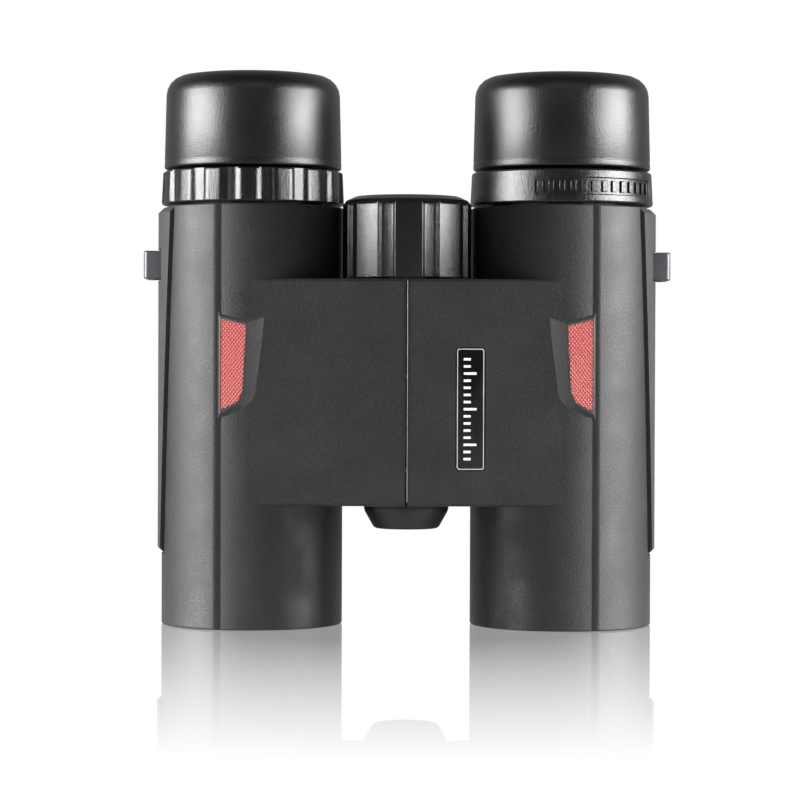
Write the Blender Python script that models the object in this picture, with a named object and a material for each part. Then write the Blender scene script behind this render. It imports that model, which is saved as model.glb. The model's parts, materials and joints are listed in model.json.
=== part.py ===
"""Compact roof-prism binoculars, standing upright on their objective rims.

Frame: +Z up along both optical axes, from the objectives to the eyepieces.
-Y is the flat front of the bridge, +X is the right barrel seen from the front.
The origin is on the ground, at the centre of the whole object's footprint.
Right-hand pieces are drawn at +X and mirrored for the left-hand barrel.
"""

import math

import bmesh
import bpy
from mathutils import Matrix, Vector

MM = 0.001
GAP = 0.3 * MM  # clearance between two fixed pieces that touch on the real object
RUNNING = 0.4 * MM  # clearance between pieces that slide or turn on each other

# Facets round a full circle
COARSE = 16
MEDIUM = 24
FINE = 32

# Optics
LENS_RADIUS = 16.6 * MM  # objective elements
LENS_LIP = 0.65 * MM  # how far a retaining ring reaches over a lens
LENS_EDGE = 1.7 * MM  # edge thickness of every element
CROWN_CURVE = 70 * MM
CEMENT_CURVE = 60 * MM
FLINT_CENTRE = 1.5 * MM
FLINT_CURVE = 150 * MM
FOCUS_LENS_RADIUS = 12.8 * MM
FOCUS_LENS_CURVE = 55 * MM
EYE_LENS_RADIUS = 10.7 * MM
EYE_LENS_CURVE = 38 * MM

# Barrel walls, from the lens outwards
CELL_WALL = 0.45 * MM
HOUSING_WALL = 1.15 * MM
ARMOUR_WALL = 1.95 * MM
ARMOUR_LIP = 1.2 * MM  # rubber turned in under the housing, which the object stands on
GROOVE_DEPTH = 0.6 * MM
GROOVE_FROM = math.radians(16.4)  # angles from the front, towards the outer side
GROOVE_TO = math.radians(21.4)

# Hinge and bridge
HINGE_FORWARD = 6 * MM  # the hinge axis lies this far in front of the optical axes
KNUCKLE_RADIUS = 10 * MM
AXLE_RADIUS = 5.5 * MM
AXLE_BORE = 3.4 * MM
AXLE_FLANGE_RADIUS = 7.2 * MM
AXLE_FLANGE = 1.2 * MM
CHAMBER_RADIUS = 8.4 * MM
SEAM = 0.3 * MM  # gap between the two halves down the front of the bridge
WEB_INSET = 1.3 * MM  # the casting's web ends this far inside the rubber
WEB_BACK_INSET = math.radians(9)  # the same at the bridge's back edge, as angles round the hinge
SKIN_BACK_INSET = math.radians(7.5)
BACK_SHOULDER = math.radians(152)  # where the bridge's back runs into the barrel
SHOULDER_INSET = 0.2 * MM
LOWER_KNUCKLE = 6.8 * MM
MIDDLE_KNUCKLE = 20 * MM
UPPER_KNUCKLE = 20.5 * MM
KNUCKLE_FLOOR = 2 * MM
KNUCKLE_INSET = 0.5 * MM
WASHER = 0.8 * MM
BRIDGE_RISE = 28.3 * MM
FOLD_ANGLE = math.radians(61)
FOLD_MARGIN = math.radians(1.6)
NUT_HEIGHT = 2.6 * MM
NUT_RADIUS = 8 * MM

# Tripod socket under the hinge
SOCKET_RADIUS = 5.6 * MM
SOCKET_BORE = 3.2 * MM
CAP_RADIUS = 9.8 * MM
CAP_TIP_RADIUS = 7.4 * MM
CAP_HEIGHT = 5.9 * MM
CAP_STRAIGHT = 1.6 * MM
STUB_LENGTH = 4 * MM
SEAL_RADIUS = 5.4 * MM
SEAL_HEIGHT = 1.2 * MM

# Focusing
FOCUS_TRAVEL = 3 * MM  # each way from mid travel
FOCUS_LEAD = 5 * MM  # rod travel for one turn of the wheel
ROD_RADIUS = 3 * MM
THREAD_DEPTH = 1 * MM
THREAD_HALF = 0.8 * MM
KEY_LENGTH = 3 * MM
KEY_WIDTH = 1 * MM
KEY_REACH = 0.9 * MM  # into the axle's wall
SPOOL_FLANGE = 1.2 * MM
SPOOL_RADIUS = 6 * MM
SPOOL_CORE = 4.2 * MM
ARM_THICKNESS = 1.6 * MM
ARM_WIDTH = 4 * MM
ARM_RING_RADIUS = 7.6 * MM
FOCUS_CELL_HEIGHT = 8 * MM
WHEEL_RADIUS = 15.05 * MM
WHEEL_HEIGHT = 18.9 * MM
WHEEL_RIM = 2.2 * MM
WHEEL_GAP = RUNNING
WHEEL_RIBS = 9
WHEEL_RIB_DEPTH = 1 * MM
WHEEL_RIB_SHARE = 0.61  # shares of one rib's pitch
WHEEL_FLANK_SHARE = 0.07
WHEEL_RIB_PHASE = math.radians(1.4)  # the front rib stands this far to the right
WHEEL_WALL = 1.8 * MM
WHEEL_CAP_RADIUS = 10.5 * MM
WHEEL_CAP = 1 * MM
BARREL_TO_WHEEL = RUNNING
NUT_SLEEVE_RADIUS = 5 * MM
NUT_SLEEVE = 6 * MM

# Prisms
PRISM_HALF_WIDTH = 8.5 * MM
PRISM_REACH = 12.5 * MM
PRISM_AIR_GAP = 0.4 * MM
SILVER_ANGLE = math.radians(67.5)  # the silvered face of the lower prism, from level
ROOF_LEAN = math.radians(22.5)
CAGE_FLOOR = 2 * MM
PLATE = 1.2 * MM
PLATE_TO_EYEPIECE = 6.2 * MM

# Eyepieces
NECK_RADIUS = 16 * MM
NECK_WALL = 1.5 * MM
EYE_TUBE_WALL = 1.8 * MM
TOP_PLATE = 2 * MM
TUBE_BELOW_TOP_PLATE = 6.5 * MM
TOP_COVER = 0.6 * MM  # rubber standing above the casting's top plate
RING_HEIGHT = 7.4 * MM
RING_LIFT = 0.5 * MM
RING_PROUD = 0.22 * MM  # rings stand out past the rubber at their foot
RING_TAPER = 0.35 * MM
RING_CHAMFER = 0.7 * MM
FLANGE_REACH = 1 * MM
FLANGE = 0.5 * MM
DIOPTER_RIBS = 16
DIOPTER_RIB_DEPTH = 0.8 * MM
DIOPTER_FLOOR_SHARE = 0.14  # half of a groove's floor, as a share of one rib's pitch
DIOPTER_MOUTH_SHARE = 0.45  # the same where the cutter ends, 1 mm outside the ring
DIOPTER_TURN = math.radians(40)
DIOPTER_TRAVEL = 1 * MM
DIOPTER_PIN = 1 * MM  # radius
DIOPTER_PIN_REACH = 1 * MM  # past the neck, into the ring's groove
WINDOW_DEPTH = 0.5 * MM
WINDOW_HALF_HEIGHT = 1.9 * MM
WINDOW_FROM = math.radians(-108)  # angles from +X, so -90 degrees faces the front
WINDOW_TO = math.radians(-20)
EYECUP_HEIGHT = 21.8 * MM
EYECUP_RADIUS = 20.6 * MM
EYECUP_TAPER = 0.5 * MM
EYECUP_ROUND = 4.6 * MM
EYECUP_WALL = 2.1 * MM
EYECUP_TOP = 3.1 * MM
EYECUP_RISE = 8 * MM
EYECUP_TURN = math.radians(100)
SLEEVE_WALL = 1.1 * MM
GUIDE_PIN = 1.2 * MM  # radius
GUIDE_PINS = 3
GUIDE_PIN_REACH = 0.9 * MM  # into the core's groove
PIN_ROOT = 0.5 * MM  # how deep a pin is let into its tube

# Trim
INSERT_HEIGHT = 1 * MM  # how far the bezel stands above the rubber
INSERT_THICKNESS = 1 * MM
BEZEL_LEAN = math.radians(9.6)  # the bezel's face leans back towards the outer side
BEZEL_FOOT_DEPTH = 2.6 * MM  # from its face back to its foot, inside the rubber
PANEL_PROUD = 0.95 * MM
PANEL_DEPTH = 0.75 * MM
PANEL_BOTTOM = 16.7 * MM
PANEL_BELOW_TOP = 0.3 * MM
PANEL_HALF_TOP = math.radians(33.4)
PANEL_HALF_BOTTOM = math.radians(17.2)
PANEL_CHAMFER = 1.2 * MM
LUG_HEIGHT = 6.5 * MM
LUG_REACH = 3.95 * MM  # beyond the rubber
LUG_HALF_WIDTH = 6.5 * MM
LUG_POST = 1.9 * MM
LUG_BAR = 1.5 * MM
LUG_BELOW_TOP = 10.3 * MM
LUG_FOOT = 0.8 * MM  # plate behind the strap's slot
PLATE_WIDTH = 6.3 * MM
PLATE_LENGTH = 27.6 * MM
PLATE_DEPTH = 0.6 * MM
PLATE_FROM_SEAM = 11.1 * MM
PLATE_BELOW_TOP = 15.7 * MM

# Radii that follow
LIP_RADIUS = LENS_RADIUS - LENS_LIP
CELL_IN = LENS_RADIUS + GAP
CELL_OUT = CELL_IN + CELL_WALL
BORE = CELL_OUT + GAP
HOUSING_OUT = BORE + HOUSING_WALL
ARMOUR_IN = HOUSING_OUT + GAP
ARMOUR_OUT = ARMOUR_IN + ARMOUR_WALL
SLIDE_OUT = BORE - RUNNING  # whatever slides in the barrel
FIXED_OUT = BORE - GAP  # whatever is fixed in the barrel
RING_OUT = ARMOUR_OUT + RING_PROUD
EYE_TUBE_OUT = NECK_RADIUS - NECK_WALL - GAP
EYE_TUBE_IN = EYE_TUBE_OUT - EYE_TUBE_WALL
EYE_CELL_OUT = EYE_TUBE_IN - GAP
EYE_CELL_IN = EYE_LENS_RADIUS + GAP
SLEEVE_IN = EYE_TUBE_OUT + RUNNING
SLEEVE_OUT = SLEEVE_IN + SLEEVE_WALL
CORE_IN = SLEEVE_OUT + GAP
CORE_OUT = EYECUP_RADIUS - EYECUP_WALL - GAP

# Plan positions that follow: the wheel just fits between the two barrels
HINGE_TO_AXIS = WHEEL_RADIUS + BARREL_TO_WHEEL + ARMOUR_OUT
AXIS_X = math.sqrt(HINGE_TO_AXIS**2 - HINGE_FORWARD**2)
ARM_ANGLE = math.atan2(HINGE_FORWARD, AXIS_X)
FRONT_REACH = ARMOUR_OUT + INSERT_HEIGHT
BARREL_Y = (FRONT_REACH - RING_OUT) / 2
HINGE_Y = BARREL_Y - HINGE_FORWARD
HINGE = Vector((0, HINGE_Y, 0))
BARREL = Vector((AXIS_X, BARREL_Y, 0))

# Heights that follow, from the ground up
KNUCKLE_GAP = WASHER + 2 * GAP
LOWER_FROM = BRIDGE_RISE + KNUCKLE_INSET
LOWER_TO = LOWER_FROM + LOWER_KNUCKLE
CAP_TO = LOWER_FROM - GAP
MIDDLE_FROM = LOWER_TO + KNUCKLE_GAP
MIDDLE_TO = MIDDLE_FROM + MIDDLE_KNUCKLE
UPPER_FROM = MIDDLE_TO + KNUCKLE_GAP
UPPER_TO = UPPER_FROM + UPPER_KNUCKLE
BRIDGE_TOP = UPPER_TO + WEB_INSET - GAP
CHAMBER_FROM = MIDDLE_FROM + KNUCKLE_FLOOR
CHAMBER_TO = MIDDLE_TO - KNUCKLE_FLOOR
FLANGE_TO = CHAMBER_TO - GAP
FLANGE_FROM = FLANGE_TO - AXLE_FLANGE
SPOOL_HALF = SPOOL_FLANGE + ARM_THICKNESS + 1.5 * GAP
FOCUS_Z = (CHAMBER_FROM + FLANGE_FROM) / 2
WHEEL_FROM = BRIDGE_TOP + WHEEL_GAP
WHEEL_TO = WHEEL_FROM + WHEEL_HEIGHT
NUT_FROM = UPPER_TO + GAP
NUT_TO = NUT_FROM + NUT_HEIGHT
AXLE_TO = NUT_TO + KNUCKLE_INSET
SLEEVE_NUT_FROM = AXLE_TO + FOCUS_TRAVEL
SLEEVE_NUT_TO = SLEEVE_NUT_FROM + NUT_SLEEVE
FOLLOWER_Z = (SLEEVE_NUT_FROM + SLEEVE_NUT_TO) / 2
ROD_TO = SLEEVE_NUT_TO + FOCUS_TRAVEL / 2
OBJECTIVE_FROM = ARMOUR_LIP + 3.4 * MM
RING_TO_LENS = 2.1 * MM
CROWN_EDGE = OBJECTIVE_FROM + 0.2 * MM + RING_TO_LENS + 2 * GAP
CAGE_FROM = FOCUS_Z + FOCUS_CELL_HEIGHT / 2 + FOCUS_TRAVEL + 2.3 * MM
PRISM_FROM = CAGE_FROM + CAGE_FLOOR + GAP
PRISM_TO = PRISM_FROM + PRISM_HALF_WIDTH + PRISM_REACH + PRISM_AIR_GAP * math.sqrt(2) + PRISM_AIR_GAP
CAGE_TO = PRISM_TO + GAP
EYE_TUBE_FROM = CAGE_TO + GAP + PLATE + PLATE_TO_EYEPIECE
HOUSING_TO = EYE_TUBE_FROM + TUBE_BELOW_TOP_PLATE + TOP_PLATE
BARREL_TOP = HOUSING_TO + TOP_COVER
RING_FROM = BARREL_TOP + RING_LIFT
RING_TO = RING_FROM + RING_HEIGHT
NECK_TO = RING_TO - FLANGE
EYECUP_FROM = NECK_TO + 2 * GAP + FLANGE + RUNNING - 0.1 * MM
EYECUP_TO = EYECUP_FROM + EYECUP_HEIGHT
CORE_TO = EYECUP_TO - EYECUP_TOP - GAP
EYE_TUBE_TO = CORE_TO - 4.8 * MM
GUIDE_Z = EYE_TUBE_TO - 2.4 * MM
EYE_CELL_TO = EYE_TUBE_TO - 2.5 * MM
EYE_CELL_FROM = EYE_TUBE_FROM + 4 * MM
DIOPTER_Z = RING_FROM + RING_HEIGHT / 2 - 0.2 * MM
LUG_Z = BARREL_TOP - LUG_BELOW_TOP - LUG_HEIGHT / 2
INSERT_Z = BRIDGE_TOP - 19.7 * MM

COLOURS = {
    "armour_rubber": ((0.045, 0.045, 0.046), 0.6, 0.0),
    "grip_rubber": ((0.07, 0.07, 0.072), 0.7, 0.0),
    "eyecup_rubber": ((0.03, 0.03, 0.031), 0.45, 0.0),
    "casting": ((0.06, 0.06, 0.065), 0.5, 0.6),
    "black_aluminium": ((0.025, 0.025, 0.028), 0.3, 0.7),
    "gloss_plastic": ((0.02, 0.02, 0.02), 0.25, 0.0),
    "inner_plastic": ((0.03, 0.03, 0.03), 0.7, 0.0),
    "red_insert": ((0.75, 0.08, 0.07), 0.45, 0.0),
    "lug_metal": ((0.12, 0.12, 0.12), 0.35, 0.6),
    "steel": ((0.6, 0.6, 0.62), 0.3, 1.0),
    "brass": ((0.7, 0.5, 0.2), 0.35, 1.0),
    "nylon": ((0.8, 0.8, 0.78), 0.5, 0.0),
    "coated_glass": ((0.35, 0.45, 0.42), 0.05, 0.0),
    "prism_glass": ((0.6, 0.7, 0.7), 0.05, 0.0),
}


# ---------------------------------------------------------------- modelling tools


def clear_scene():
    for obj in list(bpy.data.objects):
        bpy.data.objects.remove(obj)


def finish_of(name):
    found = bpy.data.materials.get(name)
    if found:
        return found
    colour, roughness, metallic = COLOURS[name]
    made = bpy.data.materials.new(name)
    made.use_nodes = True
    shader = made.node_tree.nodes["Principled BSDF"]
    shader.inputs["Base Color"].default_value = (*colour, 1)
    shader.inputs["Roughness"].default_value = roughness
    shader.inputs["Metallic"].default_value = metallic
    return made


def object_from(bm, name="tool"):
    """A new object from a bmesh whose faces are made to point outwards."""
    bmesh.ops.recalc_face_normals(bm, faces=bm.faces)
    mesh = bpy.data.meshes.new(name)
    bm.to_mesh(mesh)
    bm.free()
    obj = bpy.data.objects.new(name, mesh)
    bpy.context.scene.collection.objects.link(obj)
    return obj


def combine(target, tool, operation):
    """Applies an exact Boolean to target and removes the tool."""
    modifier = target.modifiers.new(operation.title(), "BOOLEAN")
    modifier.operation = operation
    modifier.solver = "EXACT"
    modifier.object = tool
    graph = bpy.context.evaluated_depsgraph_get()
    result = bpy.data.meshes.new_from_object(target.evaluated_get(graph))
    target.modifiers.clear()
    target.data = result
    bpy.data.objects.remove(tool)
    return target


def cut(target, tool):
    return combine(target, tool, "DIFFERENCE")


def join(target, tool):
    return combine(target, tool, "UNION")


def turned(profile, segments, centre=Vector((0, 0, 0))):
    """A turned solid from (radius, height) points: a ring, or a disc if the profile ends on the axis."""
    bm = bmesh.new()
    points = [bm.verts.new((radius, 0, z)) for radius, z in profile]
    edges = [bm.edges.new(pair) for pair in zip(points, points[1:])]
    if min(radius for radius, _ in profile) > 0:
        edges.append(bm.edges.new((points[-1], points[0])))
    bmesh.ops.spin(
        bm, geom=points + edges, axis=(0, 0, 1), cent=(0, 0, 0),
        angle=math.tau, steps=segments, use_merge=True,
    )
    bmesh.ops.remove_doubles(bm, verts=bm.verts, dist=0.001 * MM)
    # A flat end becomes a single face, which Booleans handle better than a fan of triangles
    hubs = [vert for vert in bm.verts if vert.co.xy.length < 0.001 * MM and is_flat(vert)]
    bmesh.ops.dissolve_verts(bm, verts=hubs)
    bmesh.ops.translate(bm, verts=bm.verts, vec=centre)
    return object_from(bm)


def is_flat(vert):
    """Whether every neighbour of this point is at its height."""
    return all(abs(edge.other_vert(vert).co.z - vert.co.z) < 0.001 * MM for edge in vert.link_edges)


def disc(radius, low, high, segments, centre):
    return turned([(0, low), (radius, low), (radius, high), (0, high)], segments, centre)


def tube(inner, outer, low, high, segments, centre):
    return turned([(inner, low), (outer, low), (outer, high), (inner, high)], segments, centre)


def extruded(outline, low, high):
    """A plate with this outline, from height low to high."""
    bm = bmesh.new()
    face = bm.faces.new([bm.verts.new((x, y, low)) for x, y in outline])
    grown = bmesh.ops.extrude_face_region(bm, geom=[face])["geom"]
    tops = [item for item in grown if isinstance(item, bmesh.types.BMVert)]
    bmesh.ops.translate(bm, verts=tops, vec=(0, 0, high - low))
    return object_from(bm)


def block(low, high):
    """A box between two corners."""
    bm = bmesh.new()
    bmesh.ops.create_cube(bm, size=1)
    low, high = Vector(low), Vector(high)
    size = high - low
    bmesh.ops.scale(bm, verts=bm.verts, vec=size)
    bmesh.ops.translate(bm, verts=bm.verts, vec=(low + high) / 2)
    return object_from(bm)


def radial_block(centre, angle, inner, outer, width, low, high):
    """A box that points outwards from a vertical axis at an angle."""
    made = block((inner, -width / 2, low), (outer, width / 2, high))
    made.data.transform(Matrix.Translation(centre) @ Matrix.Rotation(angle, 4, "Z"))
    return made


def radial_pin(centre, angle, inner, outer, radius, height):
    """A round pin that points outwards from a vertical axis at an angle."""
    bm = bmesh.new()
    bmesh.ops.create_cone(
        bm, cap_ends=True, segments=8, radius1=radius, radius2=radius, depth=outer - inner
    )
    bmesh.ops.rotate(bm, verts=bm.verts, matrix=Matrix.Rotation(math.pi / 2, 3, "Y"))
    bmesh.ops.translate(bm, verts=bm.verts, vec=((inner + outer) / 2, 0, height))
    made = object_from(bm)
    made.data.transform(Matrix.Translation(centre) @ Matrix.Rotation(angle, 4, "Z"))
    return made


def skinned(sections):
    """A closed solid through a row of outlines that have the same number of points."""
    bm = bmesh.new()
    rings = [[bm.verts.new(point) for point in section] for section in sections]
    for below, above in zip(rings, rings[1:]):
        for i, corner in enumerate(below):
            after = (i + 1) % len(below)
            bm.faces.new((corner, below[after], above[after], above[i]))
    bm.faces.new(rings[0])
    bm.faces.new(rings[-1])
    return object_from(bm)


def helical_bar(centre, inner, outer, half_height, start, turn, height, rise, steps):
    """A bar of square section that winds round a vertical axis while it climbs by rise."""
    sections = []
    for i in range(steps + 1):
        share = i / steps
        angle = start + turn * share
        z = height + rise * share
        out = Vector((math.cos(angle), math.sin(angle), 0))
        up = Vector((0, 0, half_height))
        level = centre + Vector((0, 0, z))
        corners = [(inner, -1), (outer, -1), (outer, 1), (inner, 1)]
        sections.append([level + out * radius + up * sign for radius, sign in corners])
    return skinned(sections)


def lens(radius, edge, below, above, low_edge, centre, rings=2, segments=MEDIUM):
    """A lens whose lower and upper faces are spheres. A positive curve bulges outwards, 0 is flat."""

    def sag(curve, r):
        return 0 if curve == 0 else math.copysign(1, curve) * (radius**2 - r**2) / (2 * abs(curve))

    radii = [radius * i / rings for i in range(rings + 1)]
    profile = [(r, low_edge - sag(below, r)) for r in radii]
    profile += [(r, low_edge + edge + sag(above, r)) for r in reversed(radii)]
    return turned(profile, segments, centre)


def mirrored(obj, side):
    """The right-hand piece itself, or its mirror image for the left-hand barrel."""
    if side < 0:
        obj.data.transform(Matrix.Scale(-1, 4, (1, 0, 0)))
        obj.data.flip_normals()
    return obj


# ---------------------------------------------------------------- bodies and naming


class Body:
    """An empty on a joint's axis, which carries the pieces of one moving body."""

    def __init__(self, name, pivot, parent=None):
        self.pivot = Vector(pivot)
        self.empty = bpy.data.objects.new(name + "_body", None)
        self.empty.empty_display_size = 10 * MM
        bpy.context.scene.collection.objects.link(self.empty)
        self.empty.location = self.pivot
        if parent:
            self.empty.parent = parent.empty
            self.empty.location = self.pivot - parent.pivot

    def add(self, obj, name, finish, origin=None):
        """Names a piece, gives it its finish, and moves its origin to the axis it turns or slides on."""
        origin = Vector(origin) if origin is not None else self.pivot
        obj.name = name
        obj.data.name = name
        obj.data.materials.clear()
        obj.data.materials.append(finish_of(finish))
        obj.data.transform(Matrix.Translation(-origin))
        obj.parent = self.empty
        obj.location = origin - self.pivot
        obj.data.shade_smooth()
        obj.data.set_sharp_from_angle(angle=math.radians(32))
        return obj


# ---------------------------------------------------------------- housings and bridge


def arc(centre, radius, start, end, steps):
    """Points (x, y) along an arc, both ends included."""
    return [
        (
            centre.x + radius * math.cos(start + (end - start) * i / steps),
            centre.y + radius * math.sin(start + (end - start) * i / steps),
        )
        for i in range(steps + 1)
    ]


REAR_ANGLE = math.pi / 2 - FOLD_ANGLE / 2 - FOLD_MARGIN / 2  # the bridge's back edge, from the hinge


def bridge_outline(radius, hinge_angle):
    """The plan of one half of the bridge, with its front face tangent to a barrel of this radius."""
    knuckle = KNUCKLE_RADIUS + RUNNING
    front = BARREL_Y - radius
    shoulder = radius - SHOULDER_INSET
    seam = SEAM / 2
    return [
        (seam, front),
        (AXIS_X, front),
        (AXIS_X, BARREL_Y),
        (
            AXIS_X + shoulder * math.cos(BACK_SHOULDER),
            BARREL_Y + shoulder * math.sin(BACK_SHOULDER),
        ),
        (knuckle * math.cos(hinge_angle), HINGE_Y + knuckle * math.sin(hinge_angle)),
        (seam, HINGE_Y),
    ]


def armour_outline():
    """The barrel's outside, with a shallow groove near the front and one near the back."""
    deep = ARMOUR_OUT - GROOVE_DEPTH
    front = -math.pi / 2
    steps = 3
    points = []
    # From the front groove round the outer side to the rear groove, then back by the inner side
    points += arc(BARREL, deep, front + GROOVE_FROM, front + GROOVE_TO, 1)
    points += arc(BARREL, ARMOUR_OUT, front + GROOVE_TO, -front - GROOVE_TO, FINE // 2 - 2 * steps)
    points += arc(BARREL, deep, -front - GROOVE_TO, -front - GROOVE_FROM, 1)
    points += arc(BARREL, ARMOUR_OUT, -front - GROOVE_FROM, -front, steps)
    points += arc(BARREL, ARMOUR_OUT, -front, math.tau + front, FINE // 2)[1:]
    points += arc(BARREL, ARMOUR_OUT, front, front + GROOVE_FROM, steps)[1:]
    return points


def housing(side):
    """The casting: a tube with its top plate and neck, the web of the bridge, and its hinge knuckles."""
    made = disc(HOUSING_OUT, ARMOUR_LIP + GAP, HOUSING_TO, FINE, BARREL)
    web = extruded(
        bridge_outline(HOUSING_OUT, REAR_ANGLE - WEB_BACK_INSET),
        LOWER_FROM + WEB_INSET - KNUCKLE_INSET, UPPER_TO,
    )
    join(made, web)
    if side > 0:
        own_knuckles = [(LOWER_FROM, LOWER_TO), (UPPER_FROM, UPPER_TO)]
        room_for_others = [(LOWER_TO, UPPER_FROM)]
    else:
        own_knuckles = [(MIDDLE_FROM, MIDDLE_TO)]
        room_for_others = [(BRIDGE_RISE, MIDDLE_FROM), (MIDDLE_TO, BRIDGE_TOP)]
    for low, high in room_for_others:
        cut(made, disc(KNUCKLE_RADIUS + RUNNING, low, high, MEDIUM, HINGE))
    for low, high in own_knuckles:
        join(made, disc(KNUCKLE_RADIUS, low, high, MEDIUM, HINGE))
    join(made, disc(NECK_RADIUS, HOUSING_TO - TOP_PLATE / 2, NECK_TO, MEDIUM, BARREL))
    bore = turned(
        [(0, 0), (BORE, 0), (BORE, HOUSING_TO - TOP_PLATE), (NECK_RADIUS - NECK_WALL, HOUSING_TO - TOP_PLATE),
         (NECK_RADIUS - NECK_WALL, NECK_TO + MM), (0, NECK_TO + MM)],
        FINE, BARREL,
    )
    cut(made, bore)
    if side > 0:
        cut(made, disc(SOCKET_RADIUS + GAP, BRIDGE_RISE, MIDDLE_FROM, MEDIUM, HINGE))
        cut(made, disc(AXLE_RADIUS + GAP, MIDDLE_TO, BRIDGE_TOP, MEDIUM, HINGE))
    else:
        cut(made, disc(SOCKET_RADIUS + RUNNING, BRIDGE_RISE, CHAMBER_FROM + MM, MEDIUM, HINGE))
        cut(made, disc(AXLE_RADIUS + RUNNING, CHAMBER_TO - MM, BRIDGE_TOP, MEDIUM, HINGE))
        cut(made, disc(CHAMBER_RADIUS, CHAMBER_FROM, CHAMBER_TO, MEDIUM, HINGE))
    low, high = arm_window()
    cut(made, radial_block(HINGE, ARM_ANGLE, CHAMBER_RADIUS - MM, HINGE_TO_AXIS, ARM_WIDTH + MM, low, high))
    if side < 0:
        # Drawn as a right-hand piece, so the other half's arm swings in from the left
        half_width = math.asin((ARM_WIDTH + MM) / 2 / CHAMBER_RADIUS)
        start = math.pi - ARM_ANGLE + half_width
        end = math.pi - ARM_ANGLE - FOLD_ANGLE - half_width
        inner, outer = CHAMBER_RADIUS - MM, KNUCKLE_RADIUS + MM
        sector = arc(HINGE, outer, start, end, 10) + arc(HINGE, inner, end, start, 10)
        cut(made, extruded(sector, low, high))
        # The diopter ring's pin passes through the neck
        cut(made, diopter_slot(BARREL, 0, NECK_RADIUS + MM))
    return mirrored(made, side)


def arm_window():
    """Lowest and highest edge of the window that the focusing arms slide in."""
    reach = FOCUS_TRAVEL + ARM_THICKNESS + GAP
    return FOCUS_Z - reach - GAP, FOCUS_Z + reach + GAP


def diopter_slot(centre, angle, outer):
    """The upright slot that keeps the diopter pin from turning."""
    half = DIOPTER_TRAVEL + DIOPTER_PIN + GAP
    width = 2 * (DIOPTER_PIN + GAP)
    return radial_block(centre, angle, EYE_TUBE_IN - MM, outer, width, DIOPTER_Z - half, DIOPTER_Z + half)


def insert_plane(offset, height):
    """A point on the bezel's tilted face: offset is measured outwards from the barrel's axis, along X."""
    crest = BARREL_Y - FRONT_REACH
    return Vector((AXIS_X + offset, crest + (offset - BEZEL_TOP[1][0]) * math.tan(BEZEL_LEAN), height))


def in_mm(*corners):
    return [(x * MM, z * MM) for x, z in corners]


# Corners of the red insert and of its bezel, outwards from the barrel's axis and up from INSERT_Z
INSERT_CORNERS = in_mm((5.9, 10.2), (0.7, 8.8), (1.5, -5.6), (2.6, -7.9), (5.9, -10))
BEZEL_TOP = in_mm((6.5, 11), (0.1, 9.5), (0.9, -6), (2.2, -8.8), (6.5, -11.2))
BEZEL_FOOT = in_mm((7.3, 13.4), (-5.9, 12), (-4.1, -8), (-1.6, -12), (7.3, -13.6))


def bezel_prism(corners, depth_near, depth_far):
    """A block whose face lies in the bezel's tilted plane, between two depths behind that plane."""
    sections = []
    for depth in (depth_near, depth_far):
        sections.append([insert_plane(x, INSERT_Z + z) + Vector((0, depth, 0)) for x, z in corners])
    return skinned(sections)


def bezel():
    """The raised frame round the red insert."""
    face = [insert_plane(x, INSERT_Z + z) for x, z in BEZEL_TOP]
    foot = [insert_plane(x, INSERT_Z + z) + Vector((0, BEZEL_FOOT_DEPTH, 0)) for x, z in BEZEL_FOOT]
    return skinned([face, foot])


def panel_patch(inner, outer, grow, low, high, steps=10):
    """A patch of wall round the barrel's outer side, wider at the top than at the bottom."""
    sections = []
    for z in (low, high):
        share = (z - PANEL_BOTTOM) / (BARREL_TOP - PANEL_BELOW_TOP - PANEL_BOTTOM)
        half = PANEL_HALF_BOTTOM + (PANEL_HALF_TOP - PANEL_HALF_BOTTOM) * share + grow / outer
        plan = arc(BARREL, outer, -half, half, steps) + arc(BARREL, inner, half, -half, steps)
        sections.append([Vector((x, y, z)) for x, y in plan])
    return skinned(sections)


def armour(side):
    """The rubber skin over the barrel and over this half of the bridge."""
    made = extruded(armour_outline(), 0, BARREL_TOP)
    outside = bridge_outline(ARMOUR_OUT, REAR_ANGLE)
    join(made, extruded(outside, BRIDGE_RISE, BRIDGE_TOP))
    join(made, bezel())
    inside = bridge_outline(ARMOUR_IN, REAR_ANGLE - SKIN_BACK_INSET)
    skin = WEB_INSET - GAP
    cut(made, extruded(inside, BRIDGE_RISE + skin, BRIDGE_TOP - skin))
    bore = turned(
        [(0, -MM), (BORE, -MM), (BORE, ARMOUR_LIP), (ARMOUR_IN, ARMOUR_LIP),
         (ARMOUR_IN, BARREL_TOP + MM), (0, BARREL_TOP + MM)],
        FINE, BARREL,
    )
    cut(made, bore)
    cut(made, disc(KNUCKLE_RADIUS + RUNNING, BRIDGE_RISE - MM, BRIDGE_TOP + MM, MEDIUM, HINGE))
    cut(made, bezel_prism(grown(INSERT_CORNERS, GAP), -MM, INSERT_THICKNESS + GAP))
    low, high = PANEL_BOTTOM - GAP, BARREL_TOP - PANEL_BELOW_TOP + GAP
    cut(made, panel_patch(ARMOUR_OUT - PANEL_DEPTH - GAP, ARMOUR_OUT + 2 * MM, GAP, low, high))
    if side > 0:
        cut(made, name_plate_block(GAP, BARREL_Y - ARMOUR_OUT - MM))
    return mirrored(made, side)


def grown(corners, margin):
    """The same corners, each moved away from their middle by a margin in X and in Z."""
    middle_x = sum(x for x, _ in corners) / len(corners)
    middle_z = sum(z for _, z in corners) / len(corners)
    return [
        (x + math.copysign(margin, x - middle_x), z + math.copysign(margin, z - middle_z))
        for x, z in corners
    ]


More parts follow.
